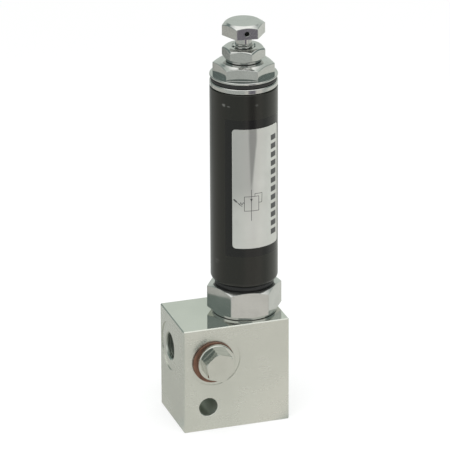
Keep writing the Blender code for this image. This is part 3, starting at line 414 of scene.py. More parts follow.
looks = {
    "plating": {
        "cloudDetail": 3.0, "cloudEdges": (0.35, 0.68), "streakDetail": (3.0, 0.6),
        "streakEdges": (0.55, 0.8), "specks": (700.0, 2.0, 0.6), "speckRough": 0.01, "streakRough": 0.03,
        "streakShare": 0.85, "upEdges": (0.8, 0.98), "leastRough": 0.04,
    },
    "block": {
        "color": (0.655, 0.668, 0.615), "cloudColor": (0.70, 0.712, 0.655),
        "streakColor": (0.57, 0.585, 0.545), "cloudScale": 30.0, "grain": (30.0, 30.0, 900.0),
        "streakTone": 0.10, "topPolish": 0.21, "rough": 0.27, "roughSpread": 0.06, "metallic": 0.94,
        "markDepth": 0.00012 * mm,
    },
    "zinc": {
        "color": (0.56, 0.565, 0.545), "cloudColor": (0.605, 0.61, 0.59), "streakColor": (0.45, 0.47, 0.465),
        "cloudScale": 90.0, "grain": (60.0, 60.0, 1400.0), "streakTone": 0.25, "topPolish": 0.03,
        "rough": 0.12, "roughSpread": 0.05, "metallic": 0.97, "markDepth": 0.001 * mm,
    },
    "plug": {"color": (0.60, 0.61, 0.56), "cloudColor": (0.64, 0.65, 0.60)},
    # Painted shade in the bores: a darker colour (much darker in the ports and the wire hole, near the
    # block's own tone on the mounting hole's wall) and added roughness
    "ports": ((0.28, 0.31, 0.27), 0.05),
    "hole": ((0.64, 0.67, 0.61), 0.3),
    "wireHole": ((0.24, 0.25, 0.24), 0.3),
    "enamel": {
        "color": (0.0055, 0.0055, 0.0025), "rubColor": (0.30, 0.30, 0.29), "rough": 0.30, "coat": 0.16,
        "coatRough": 0.2, "specular": 0.5, "radius": 19.35 * mm,
        "peel": 420.0, "peelRough": 0.06, "peelDepth": 0.008 * mm,
        "rubGrain": (70.0, 70.0, 160.0), "rubEdges": (0.66, 0.74), "rubTone": 0.10, "rubRough": 0.3,
        # angle in degrees, height, half width, half height, strength
        "scuffs": [
            (-144.0, 194.6 * mm, 1.4 * mm, 1.0 * mm, 0.34), (-134.5, 194.2 * mm, 1.3 * mm, 0.5 * mm, 0.26),
            (-86.0, 195.2 * mm, 1.2 * mm, 0.8 * mm, 0.12),
        ],
        "scuffGrain": 1400.0, "scuffRagged": 1.4,
        # The clear film stands out this far beyond the label's sides and ends
        "filmBeside": 4.4 * mm, "filmBeyond": 5.2 * mm, "filmEdge": 0.35 * mm,
        "filmColor": (0.004, 0.004, 0.0035), "filmPolish": 0.08,
    },
    "copper": {
        "color": (0.27, 0.145, 0.10), "patchColor": (0.15, 0.085, 0.062), "patches": (260.0, 4.0, 0.6),
        "patchEdges": (0.3, 0.7), "metallic": 0.75, "rough": 0.42, "roughSpread": 0.25, "grain": 1500.0,
        "grainDepth": 0.01 * mm,
    },
    "rubber": {
        "colors": [(0.010, 0.010, 0.011), (0.020, 0.020, 0.020)], "metallic": 0.0, "rough": 0.42,
        "roughSpread": 0.2, "clouds": (160.0, 160.0, 160.0), "grain": (1800.0, 1800.0, 1800.0),
        "grainDepth": 0.01 * mm,
    },
    "plastic": {
        "colors": [(0.66, 0.63, 0.54), (0.74, 0.71, 0.62)], "metallic": 0.0, "rough": 0.55,
        "roughSpread": 0.1, "clouds": (300.0, 300.0, 300.0), "grain": (300.0, 300.0, 300.0),
        "grainDepth": 0.0,
    },
    # Turned and ground: fine rings along the axis
    "ground": {
        "colors": [(0.558, 0.558, 0.549), (0.6696, 0.6696, 0.6588)], "metallic": 1.0, "rough": 0.2,
        "roughSpread": 0.12, "clouds": (40.0, 40.0, 6000.0), "grain": (40.0, 40.0, 6000.0),
        "grainDepth": 0.004 * mm,
    },
    "spring": {"colors": [(0.18, 0.18, 0.189), (0.216, 0.216, 0.2268)], "rough": 0.38},
}


def platedSteel(name, look, bores=()):
    # Zinc plate: cloudy tone, fine streaks of the tool marks under it, a few brighter and duller patches.
    # Faces that look up are smoother, as a ground face is. A shaded bore is (mask, (painted shade colour,
    # added roughness)).
    mat, shader, place = newMaterial(name)
    plating = looks["plating"]
    clouds = noise(place, look["cloudScale"], plating["cloudDetail"])
    streaks = noise(stretched(place, look["grain"]), 1.0, *plating["streakDetail"])
    specks = noise(place, *plating["specks"])
    tone = mixColor(smoothStep(clouds, *plating["cloudEdges"]), look["color"], look["cloudColor"])
    streaked = smoothStep(streaks, *plating["streakEdges"]) * look["streakTone"]
    tone = mixColor(streaked, tone, look["streakColor"])
    up = smoothStep(facing(place), *plating["upEdges"]) * look["topPolish"]
    rough = look["rough"] + (clouds - 0.5) * look["roughSpread"]
    rough = rough + (specks - 0.5) * plating["speckRough"] + (streaks - 0.5) * plating["streakRough"]
    marks = streaks * plating["streakShare"] + specks * (1 - plating["streakShare"])
    # Painted shade: a bore's wall gets a darker colour and added roughness
    for mask, (dullColor, dullRough) in bores:
        dull = mask(place)
        tone = mixColor(dull, tone, dullColor)
        rough = rough + dull * dullRough
    feed(
        shader, Base_Color=tone, Roughness=(rough - up).atLeast(plating["leastRough"]),
        Metallic=look["metallic"], Normal=bump(marks, look["markDepth"]),
    )
    return mat


def blackEnamel(look):
    # Semi-gloss black paint with a faint orange peel and a few light rubbed marks; round the label lies a
    # darker, clear film. Angles are measured round the housing's axis.
    mat, shader, place = newMaterial("black_enamel")
    x, y, z = axes(place)
    around = y.maths("ARCTAN2", y, x - axisX)
    peel = noise(place, look["peel"])
    rub = noise(stretched(place, look["rubGrain"]), 1.0, 4.0, 0.65)
    rub = smoothStep(rub, *look["rubEdges"]) * look["rubTone"]
    for angle, height, halfWidth, halfHeight, strength in look["scuffs"]:
        across = (around - math.radians(angle)) * (look["radius"] / halfWidth)
        upright = (z - height) * (1 / halfHeight)
        ragged = (noise(place, look["scuffGrain"]) - 0.5) * look["scuffRagged"]
        spot = smoothStep((across * across + upright * upright) + ragged, 1.0, 0.2)
        rub = rub.atLeast(spot * strength)
    beside, edge = look["filmBeside"] / look["radius"], look["filmEdge"]
    left, right = label["left"] - beside, labelRight + beside
    low, high = labelLow.z - look["filmBeyond"], labelHigh.z + look["filmBeyond"]
    film = smoothStep(around, left - edge / look["radius"], left)
    film = film * smoothStep(around, right + edge / look["radius"], right)
    film = film * smoothStep(z, low - edge, low) * smoothStep(z, high + edge, high)
    rough = look["rough"] + rub * look["rubRough"] + (peel - 0.5) * look["peelRough"]
    feed(
        shader, Base_Color=mixColor(film, mixColor(rub, look["color"], look["rubColor"]), look["filmColor"]),
        Roughness=rough - film * look["filmPolish"], Normal=bump(peel, look["peelDepth"]),
        Coat_Weight=look["coat"] * (1.0 - film), Coat_Roughness=look["coatRough"],
        Specular_IOR_Level=look["specular"],
    )
    return mat


def tarnishedCopper(look):
    mat, shader, place = newMaterial("tarnished_copper")
    patches = noise(place, *look["patches"])
    tone = mixColor(smoothStep(patches, *look["patchEdges"]), look["color"], look["patchColor"])
    feed(
        shader, Base_Color=tone, Metallic=look["metallic"],
        Roughness=look["rough"] + (patches - 0.5) * look["roughSpread"],
        Normal=bump(noise(place, look["grain"]), look["grainDepth"]),
    )
    return mat


def mottled(name, look):
    # Two tones mixed by clouds, with a grain that roughens and dents the face
    mat, shader, place = newMaterial(name)
    clouds, grain = (noise(stretched(place, look[scale]), 1.0) for scale in ("clouds", "grain"))
    feed(
        shader, Base_Color=mixColor(clouds, *look["colors"]), Metallic=look["metallic"],
        Roughness=look["rough"] + (grain - 0.5) * look["roughSpread"], Normal=bump(grain, look["grainDepth"]),
    )
    return mat


zincSteel = platedSteel("zinc_plated_steel", looks["zinc"])
enamel = blackEnamel(looks["enamel"])
blackRubber = mottled("nitrile_rubber", looks["rubber"])
copper = tarnishedCopper(looks["copper"])
ground = mottled("ground_steel", looks["ground"])
springSteel = mottled("spring_steel", {**looks["ground"], **looks["spring"]})
plastic = mottled("seal_plastic", looks["plastic"])
print("materials made")


# Valve block: a bar with broken edges, less its ports, cavity and mounting hole

block = {
    "columns": 96, "taper": 1 / 32, "drillSlope": math.tan(math.radians(31)),
    # the bore at the thread's tips is the root
    **inMm(
        edgeBreak=0.5, spotDepth=0.4, spotRadius=14.3, mouthRadius=8.6, threadRoot=7.6, threadCrest=8.35,
        threadPitch=1.337, cavityCone=2.14, over=3.0,
    ),
    "outlet": inMm(y=5.8, z=43.4, depth=13.5, drill=4.0, far=39.85),
    "inlet": inMm(y=0.0, z=20.5, depth=11.0, drill=4.8, far=19.65),
    "gauge": inMm(spot=15.3, bore=8.6, lip=1.0, depth=14.0, drill=3.0, far=28.05),
    "hole": inMm(x=-17.1, z=14.6, radius=5.5, lip=0.25),
    # radius and depth under the block's top, in mm
    "cavity": [
        (16.2, 2.7), (13.8, 2.7), (13.8, 26.0), (10.3, 26.0), (10.3, 35.0), (8.0, 35.0), (8.0, 49.0),
    ],
    # Where painted shade darkens the bores: radius, and the depths between which it sets in
    **inMm(dullPort=(8.5, 0.5, 1.6), dullHole=(5.6, 0.1, 0.8)),
}


def inPorts(place):
    # 1 inside the two threaded ports
    x, y, z = axes(place)
    radius, near, far = block["dullPort"]
    outlet, inlet = (
        within(y - port["y"], z - port["z"], radius) for port in (block["outlet"], block["inlet"])
    )
    outlet = outlet * smoothStep(x, blockLow.x + near, blockLow.x + far)
    inlet = inlet * smoothStep(x, blockHigh.x - near, blockHigh.x - far)
    return (outlet * (x < 0.0)).atLeast(inlet * (x > 0.0))


def inHole(place):
    # 1 on the wall of the mounting hole
    x, y, z = axes(place)
    radius, near, far = block["dullHole"]
    inside = within(x - block["hole"]["x"], z - block["hole"]["z"], radius)
    return inside * smoothStep(y, frontY + near, frontY + far)


def chamferedBox(low, high, chamfer, steps=3, perSide=6):
    # The surface of a box with 45-degree chamfers: a grid point is held inside the box shrunk by the chamfer,
    # and pushed out from there until |x| + |y| + |z| of the push equals the chamfer
    low, high = np.array(low), np.array(high)
    rim = chamfer * np.linspace(0.0, 1.0, steps + 1)
    grids = []
    for axis in range(3):
        others = (axis + 1) % 3, (axis + 2) % 3
        spans = [
            np.concatenate([
                low[k] + rim, np.linspace(low[k] + 2 * chamfer, high[k] - 2 * chamfer, perSide),
                high[k] - rim[::-1],
            ])
            for k in others
        ]
        first, second = np.meshgrid(*spans, indexing="ij")
        for level in (low[axis], high[axis]):
            point = np.zeros(first.shape + (3,))
            point[..., axis], point[..., others[0]], point[..., others[1]] = level, first, second
            held = np.clip(point, low + chamfer, high - chamfer)
            away = point - held
            length = np.abs(away).sum(axis=-1, keepdims=True)
            grids.append(held + away / length * chamfer)
    return grids


def drilled(radius, bottom, drill, far):
    # The lower end of a port: the bore's cone down to the cross drilling, and that one's own point
    slope = block["drillSlope"]
    return [
        (radius, bottom), (drill, bottom - (radius - drill) * slope), (drill, -far),
        (0.0, -far - drill * slope),
    ]


def portMesh(name, port, place):
    # Seen from outside, downwards: spotface, mouth chamfer, tapered thread, drill point, cross drilling
    angles = circle(block["columns"])
    floor = -block["spotDepth"]
    low, high = -port["depth"], floor - (block["mouthRadius"] - block["threadRoot"])
    end = block["threadRoot"] - (high - low) * block["taper"]
    top = [
        (0.0, block["over"]), (block["spotRadius"], block["over"]), (block["spotRadius"], floor),
        (block["mouthRadius"], floor), (block["threadRoot"], high),
    ]
    crest = end + block["threadCrest"] - block["threadRoot"]
    grids = [
        profileGrid(top, angles, 0.06 * mm, False),
        threadGrid(angles, low, high, end, crest, block["threadPitch"], block["taper"]),
        profileGrid(drilled(end, low, port["drill"], port["far"]), angles, 0.1 * mm, False),
    ]
    return meshFromGrids(name, [place(turnGrid(grid, angles)) for grid in grids])


def makeBlock():
    # Painted shade darkens the ports and, a little, the mounting hole
    steel = platedSteel("plated_block", looks["block"], [(inPorts, looks["ports"]), (inHole, looks["hole"])])
    mesh = meshFromGrids("valveBlock", chamferedBox(blockLow, blockHigh, block["edgeBreak"]))
    piece = addPiece("valveBlock", mesh, steel, "root", ["valve_block"])
    over, columns = block["over"], block["columns"]

    for name, faceX, side in (("outlet", blockLow.x, -1), ("inlet", blockHigh.x, 1)):
        port = block[name]
        place = laid((faceX, port["y"], port["z"]), x=(0, 0, -side), z=(side, 0, 0))
        cutBy(piece, portMesh(name, port, place))

    gauge, floor = block["gauge"], -block["spotDepth"]
    profile = [
        (0.0, over), (gauge["spot"], over), (gauge["spot"], floor), (gauge["bore"] + gauge["lip"], floor),
        (gauge["bore"], floor - gauge["lip"]),
        *drilled(gauge["bore"], -gauge["depth"], gauge["drill"], gauge["far"]),
    ]
    place = outOfFront(plugX, plugZ)
    cutBy(piece, turnedMesh("gauge", profile, soft=0.06 * mm, loop=False, columns=columns, place=place))

    hole, depth = block["hole"], blockHigh.y - blockLow.y
    radius, lip = hole["radius"], hole["lip"]
    mouth = radius + lip + over
    profile = [
        (0.0, over), (mouth, over), (radius, -lip), (radius, lip - depth), (mouth, -depth - over),
        (0.0, -depth - over),
    ]
    place = outOfFront(hole["x"], hole["z"])
    cutBy(piece, turnedMesh("hole", profile, soft=0.0, loop=False, columns=72, place=place))

    steps = [(radius * mm, blockTop - down * mm) for radius, down in block["cavity"]]
    profile = [
        (0.0, blockTop + over), (steps[0][0], blockTop + over), *steps,
        (0.0, steps[-1][1] - block["cavityCone"]),
    ]
    cutBy(piece, turnedMesh("cavity", profile, soft=0.1 * mm, loop=False, columns=columns))


makeBlock()
print("block cut")


# Cartridge body

cartridge = {
    "turn": math.radians(-98.7), "low": blockTop + 0.3 * mm,
    **inMm(
        acrossFlats=37.8, cornerRadius=0.6, height=16.8, topChamfer=(18.72, -1.7), edge=0.6,
        # a low round collar carries the hexagon
        collar=(18.72, 0.25), foot=[(18.72, 1.4), (21.82, 2.6)], spigot=14.85, spigotRelief=13.9,
        thread=13.5, relief=12.6, reliefLength=3.4, threadLength=12.8, nose=10.0, groove=(8.2, 36.1, 31.5),
        seatBore=(6.5, 40.1), chamber=(6.0, 48.6), pistonBore=4.3, window=(2.5, 43.4), windowOver=2,
    ),
}


def makeCartridge():
    c, e = cartridge, cartridge["edge"]
    angles, outline = hexagon(c["acrossFlats"], c["turn"], c["cornerRadius"])
    low, high = c["low"], c["low"] + c["height"]
    neck = housingLow.z
    reliefLow = low - c["reliefLength"]
    threadLow = reliefLow - c["threadLength"]
    face, drop = c["topChamfer"]
    crown = rimRows(outline, high, [(face, 0.0), (c["acrossFlats"] / math.sqrt(3), drop)])
    foot = rimRows(outline, low, c["foot"])
    collar, collarSoft = c["collar"]
    grooveRadius, grooveHigh, grooveLow = c["groove"]
    profile = [
        (c["spigot"] - e, bodyHigh.z), (c["spigot"], bodyHigh.z - e), (c["spigot"], neck + e),
        (c["spigotRelief"], neck), (c["spigotRelief"], high), *crown, *foot[::-1], (collar, low, collarSoft),
        (c["relief"], low), (c["relief"], reliefLow), (c["thread"], reliefLow - e),
        (c["thread"], threadLow + e), (c["thread"] - e, threadLow), (c["nose"], threadLow),
        (c["nose"], grooveHigh),
        (grooveRadius, grooveHigh), (grooveRadius, grooveLow), (c["nose"], grooveLow),
        (c["nose"], bodyLow.z + e), (c["nose"] - e, bodyLow.z), (c["seatBore"][0], bodyLow.z), c["seatBore"],
        (c["chamber"][0], c["seatBore"][1]), c["chamber"], (c["pistonBore"], c["chamber"][1]),
        (c["pistonBore"], bodyHigh.z),
    ]
    mesh = turnedMesh("cartridgeBody", profile, soft=0.12 * mm, angles=angles)
    piece = addPiece("cartridgeBody", mesh, zincSteel, "root", ["cartridge_body"])
    radius, height = c["window"]
    reach = c["nose"] + c["windowOver"]
    drill = [(0.0, reach), (radius, reach), (radius, -reach), (0.0, -reach)]
    for turn in (0.0, math.pi / 2):
        place = acrossAxis(turn, height)
        cutBy(piece, turnedMesh("window", drill, soft=0.0, loop=False, columns=32, place=place))


makeCartridge()


# Spring housing, a tube with a rounded lower end

housing = inMm(shoulder=2.8, bore=15.8, thread=15.15, lower=16.8, upper=15.0, edge=0.35)


def makeHousing():
    h, low, high = housing, housingLow.z, housingHigh.z
    step = h["bore"] - h["thread"]
    arc = np.radians(np.linspace(0, 90, 13))
    shoulder = [
        (housingRadius - h["shoulder"] * (1 - math.cos(a)), low + h["shoulder"] * (1 - math.sin(a)), 0.0)
        for a in arc
    ]
    profile = [
        (housingRadius - h["edge"], high), (housingRadius, high - h["edge"]), *shoulder, (h["thread"], low),
        (h["thread"], low + h["lower"] - step), (h["bore"], low + h["lower"]), (h["bore"], high - h["upper"]),
        (h["thread"], high - h["upper"] + step), (h["thread"], high),
    ]
    mesh = turnedMesh("springHousing", profile, columns=192)
    addPiece("springHousing", mesh, enamel, "root", ["spring_housing"])


makeHousing()
print("cartridge and housing made")


# Clamp ring, the two visible rubber rings and the cap

clamp = inMm(bore=16.7, radius=19.35, chamfer=0.4)


def makeClampRing():
    radius, bore, chamfer = clamp["radius"], clamp["bore"], clamp["chamfer"]
    low, high = clampLow.z, clampHigh.z
    profile = [
        (radius - chamfer, high), (radius, high - chamfer), (radius, low + chamfer), (radius - chamfer, low),
        (bore, low), (bore, high),
    ]
    mesh = turnedMesh("clampRing", profile, columns=192)
    addPiece("clampRing", mesh, zincSteel, "root", ["clamp_ring"])


rings = {
    "neckRing": {"node": "neck_o_ring", **inMm(inner=14.2, outer=17.1, spread=0.2, bulge=0.7)},
    "capRing": {"node": "cap_o_ring", **inMm(inner=16.7, outer=19.0, spread=0.2, bulge=0.7)},
}


def makeRing(name, ring):
    # The outer side is half an ellipse: radius = outer - bulge (1 - cos a), height = middle + half sin a
    low, high = (corner.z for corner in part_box(ring["node"]))
    low, high = low - ring["spread"], high + ring["spread"]
    half, middle = (high - low) / 2, (high + low) / 2
    side = [
        (ring["outer"] - ring["bulge"] * (1 - math.cos(a)), middle + half * math.sin(a), 0.0)
        for a in np.radians(np.linspace(88, -88, 15))
    ]
    profile = side + [(ring["inner"], low), (ring["inner"], high)]
    mesh = turnedMesh(name, profile, soft=0.1 * mm, columns=160)
    addPiece(name, mesh, blackRubber, "root", [ring["node"]])


makeClampRing()
for name, ring in rings.items():
    makeRing(name, ring)

cap = {
    "turn": math.radians(-111.8),
    **inMm(
        acrossFlats=30.5, hexHeight=7.6, crown=[(13.4, 0.0), (15.2, -1.0), (17.61, -1.9)], flange=19.4,
        flangeThickness=1.3, flangeChamfer=0.3, neck=16.4, shoulder=201.7, thread=14.85, relief=14.15,
        reliefLength=1.5, bore=6.3, edge=0.6,
    ),
}


def makeCap():
    c, e, f = cap, cap["edge"], cap["flangeChamfer"]
    angles, outline = hexagon(c["acrossFlats"], c["turn"])
    hexLow = capHigh.z - c["hexHeight"]
    flangeLow = hexLow - c["flangeThickness"]
    reliefLow = c["shoulder"] - c["reliefLength"]
    profile = [
        (c["bore"] + e, capHigh.z), *rimRows(outline, capHigh.z, c["crown"], soft=0.3 * mm),
        (outline, hexLow), (c["flange"] - f, hexLow), (c["flange"], hexLow - f), (c["flange"], flangeLow + f),
        (c["flange"] - f, flangeLow), (c["neck"], flangeLow), (c["neck"], c["shoulder"]),
        (c["relief"], c["shoulder"]), (c["relief"], reliefLow), (c["thread"], reliefLow - e),
        (c["thread"], capLow.z + e), (c["thread"] - e, capLow.z), (c["bore"] + e, capLow.z),
        (c["bore"], capLow.z + e), (c["bore"], capHigh.z - e),
    ]
    mesh = turnedMesh("topCap", profile, angles=angles)
    addPiece("topCap", mesh, zincSteel, "root", ["top_cap"])


makeCap()

nut = {
    "turn": math.radians(-116.0),
    **inMm(
        acrossFlats=21.5, bore=6.15, countersink=0.9, crown=[(9.6, 0.0), (10.6, -0.45), (12.41, -1.5)],
        collar=(10.2, 0.2), foot=[(10.2, 1.1), (12.41, 2.5)],
    ),
}


def makeNut():
    angles, outline = hexagon(nut["acrossFlats"], nut["turn"])
    low, high = nutLow.z, nutHigh.z
    crown = rimRows(outline, high, nut["crown"], rows=2, soft=0.9 * mm)
    foot = rimRows(outline, low, nut["foot"], rows=3)
    collar, collarSoft = nut["collar"]
    bore, mouth = nut["bore"], nut["bore"] + nut["countersink"]
    profile = [
        (mouth, high), *crown, *foot[::-1], (collar, low, collarSoft), (mouth, low),
        (bore, low + nut["countersink"]), (bore, high - nut["countersink"]),
    ]
    mesh = turnedMesh("lockNut", profile, soft=0.12 * mm, angles=angles)
    addPiece("lockNut", mesh, zincSteel, "nut", ["lock_nut"])


makeNut()
print("rings, cap and nut made")


# Adjusting screw: head, neck, thread and cupped tip, with a hole for a seal wire

screw = {
    "turn": math.radians(-97.6),
    **inMm(
        acrossFlats=21.5, headHeight=7.7, crown=[(9.3, 0.0), (10.7, -0.9), (12.41, -1.8)], neck=4.75,
        neckFillet=0.4, neckLength=4.7, thread=6.0, pitch=1.75, tip=5.0, tipLength=4.0, tipShoulder=0.25,
        tipEdge=0.3, cup=3.6, wireHole=1.3, wireHeight=3.3, wireSink=0.25, wireReach=15, wireDull=1.42,
    ),
}
headLow = screwHigh.z - screw["headHeight"]


def inWireHole(place):
    # 1 on the wall of the wire hole through the screw's head
    x, y, z = axes(place)
    across = y * math.cos(screw["turn"]) - (x - axisX) * math.sin(screw["turn"])
    return within(across, z - (headLow + screw["wireHeight"]), screw["wireDull"])


def makeScrew():
    c = screw
    angles, outline = hexagon(c["acrossFlats"], c["turn"])
    top, bottom = screwHigh.z, screwLow.z
    neckLow, threadLow = headLow - c["neckLength"], bottom + c["tipLength"]
    head = [
        (0.0, top), *rimRows(outline, top, c["crown"], rows=4, soft=0.25 * mm), (outline, headLow),
        (c["neck"] + c["neckFillet"], headLow), (c["neck"], headLow - c["neckFillet"]), (c["neck"], neckLow),
    ]
    tip = [
        (c["neck"], threadLow), (c["tip"] - c["tipShoulder"], threadLow),
        (c["tip"], threadLow - c["tipShoulder"]), (c["tip"], bottom + c["tipEdge"]),
        (c["tip"] - c["tipEdge"], bottom), (c["cup"], bottom), (0.0, bottom + c["cup"]),
    ]
    grids = [
        profileGrid(head, angles, 0.12 * mm, False),
        threadGrid(angles, threadLow, neckLow, c["neck"], c["thread"], c["pitch"]),
        profileGrid(tip, angles, 0.05 * mm, False),
    ]
    mesh = meshFromGrids("adjustingScrew", [onAxis(turnGrid(grid, angles)) for grid in grids])
    # Painted shade darkens the wall of the wire hole
    steel = platedSteel("plated_screw", looks["zinc"], [(inWireHole, looks["wireHole"])])
    piece = addPiece("adjustingScrew", mesh, steel, "adjuster", ["adjusting_screw"])
    hole, mouth = c["wireHole"], c["wireHole"] + c["wireSink"]
    face, reach = c["acrossFlats"] / 2, c["wireReach"]
    drill = [
        (0.0, reach), (mouth, reach), (mouth, face), (hole, face - c["wireSink"]),
        (hole, c["wireSink"] - face), (mouth, -face), (mouth, -reach), (0.0, -reach),
    ]
    place = acrossAxis(c["turn"], headLow + c["wireHeight"])
    cutBy(piece, turnedMesh("wireHole", drill, soft=0.0, loop=False, columns=40, place=place))


makeScrew()
print("adjusting screw made")


# Gauge port's plug and its washer

plug = {
    "turn": math.radians(11.6),
    **inMm(
        acrossFlats=15.9, cornerRadius=0.25, thread=8.3, crown=(0.8, 0.4), threadEdge=0.6, collar=11.0,
        collarLow=1.4, collarThickness=3.0, collarChamfer=0.4, washer=12.4, washerBore=9.6, washerLow=-0.1,
        washerThickness=1.2, washerDrift=(-0.75, -0.7),
    ),
}


def makePlug():
    c = plug
    angles, outline = hexagon(c["acrossFlats"], c["turn"], c["cornerRadius"])
    corner = c["acrossFlats"] / math.sqrt(3)
    width, drop = c["crown"]
    high, low = frontY - plugLow.y, frontY - plugHigh.y
    collarHigh, chamfer = c["collarLow"] + c["collarThickness"], c["collarChamfer"]
    profile = [
        (0.0, high), *rimRows(outline, high, [(corner - width, 0.0), (corner, -drop)], rows=4),
        (outline, collarHigh), (c["collar"] - chamfer, collarHigh), (c["collar"], collarHigh - chamfer),
        (c["collar"], c["collarLow"]), (c["thread"], c["collarLow"]), (c["thread"], low + c["threadEdge"]),
        (c["thread"] - c["threadEdge"], low), (0.0, low),
    ]
    place = outOfFront(plugX, plugZ)
    steel = platedSteel("plated_plug", {**looks["zinc"], **looks["plug"]})
    mesh = turnedMesh("portPlug", profile, soft=0.12 * mm, loop=False, angles=angles, place=place)
    addPiece("portPlug", mesh, steel, "root", ["port_plug"])

    low = c["washerLow"]
    high = low + c["washerThickness"]
    profile = [(c["washer"], high), (c["washer"], low), (c["washerBore"], low), (c["washerBore"], high)]
    across, up = c["washerDrift"]
    mesh = turnedMesh("plugWasher", profile, soft=0.3 * mm, place=outOfFront(plugX + across, plugZ + up))
    addPiece("plugWasher", mesh, copper, "root", ["plug_washer"])


makePlug()
print("plug made")


# Label: a silver film with rounded corners and a generic print

def makeLabel():
    # Point (s, t) lies at height t; across, s runs between the two sides, which draw in by
    # corner - sqrt(corner^2 - (corner - distance to the end)^2) near the ends. The sheet is then wrapped:
    # angle = left + u / radius.
    c = label
    low, high = labelLow.z, labelHigh.z
    height, corner = high - low, c["corner"]
    arc = corner * (1 - np.cos(np.radians(np.linspace(0, 90, 10))))
    rows = np.concatenate([arc, np.linspace(corner, height - corner, 60)[1:-1], height - arc[::-1]])
    away = np.clip(corner - np.minimum(rows, height - rows), 0.0, corner)
    inset = corner - np.sqrt(np.maximum(corner ** 2 - away ** 2, 0.0))
    across = np.linspace(0.0, 1.0, 97)
    u = inset[:, None] + across[None, :] * (c["width"] - 2 * inset[:, None])
    v = rows[:, None] + 0 * u
    angle = c["left"] + u / c["radius"]
    front, back = (
        np.stack([radius * np.cos(angle), radius * np.sin(angle), low + v], axis=-1)
        for radius in (c["radius"] + c["thickness"], c["radius"])
    )
    edges = [
        np.stack([front[0], back[0]]), np.stack([front[-1], back[-1]]),
        np.stack([front[:, 0], back[:, 0]]), np.stack([front[:, -1], back[:, -1]]),
    ]
    mesh = meshFromGrids("nameLabel", [onAxis(g) for g in [front, back, *edges]])
    points = np.empty(len(mesh.vertices) * 3)
    mesh.vertices.foreach_get("co", points)
    points = points.reshape(-1, 3)
    flatU = (np.arctan2(points[:, 1], points[:, 0] - axisX) - c["left"]) % math.tau * c["radius"]
    flat = np.stack([flatU, points[:, 2] - low], axis=1) / c["mapUnit"]
    corners = np.empty(len(mesh.loops), dtype=np.int32)
    mesh.loops.foreach_get("vertex_index", corners)
    uvLayer = mesh.uv_layers.new(name="sheet")
    uvLayer.data.foreach_set("uv", flat[corners].astype(np.float32).ravel())
    return mesh


# Places are (across, up) in mm on the flat sheet
printed = {
    "ink": (0.05, 0.05, 0.05),
    "line": 0.32,
    "edge": 0.05,
    "box": [(6.96, 23.1), (15.3, 23.1), (15.3, 31.8), (6.96, 31.8), (6.96, 23.1)],
    "flow": [(10.98, 17.2), (10.98, 35.9)],
    "pilot": [(13.0, 31.8), (13.0, 33.4), (17.4, 33.4), (17.2, 27.8), (15.3, 27.8)],
    "spring": [(6.96, 27.6), (6.3, 28.4), (5.6, 26.9), (4.9, 28.4), (4.2, 26.9), (3.6, 27.9)],
    "arrow": [(5.6, 26.0), (1.2, 29.7)],
    "arrowEnd": {"line": [(2.4, 28.7), (1.1, 29.8)], "width": 0.95},
    "flowArrow": {"across": 10.98, "tip": 28.3, "length": 2.2, "slope": 0.32},
    "bars": {"left": 24.0, "right": 29.0, "low": 6.0, "high": 68.3, "pitch": 5.2, "share": 0.62},
    # A painted reflection: a grey streak down the label
    "streak": {
        "low": 36.0, "high": 66.0, "across": (10.9, 11.9), "halfWidth": (0.2, 2.3), "edge": 0.7,
        "fade": (33.0, 42.0), "color": (0.31, 0.31, 0.295),
    },
    # Painted shade over the label's upper left
    "leftTone": {"across": (13.0, 10.5), "up": (18.0, 40.0), "color": (0.455, 0.455, 0.435)},
    "film": {
        "color": (0.56, 0.56, 0.53), "cloudColor": (0.62, 0.62, 0.59), "cloudScale": 60.0,
        "grain": (200.0, 200.0, 2500.0), "metallic": 0.55, "rough": 0.38, "roughSpread": 0.12,
        "depth": 0.002 * mm,
    },
}


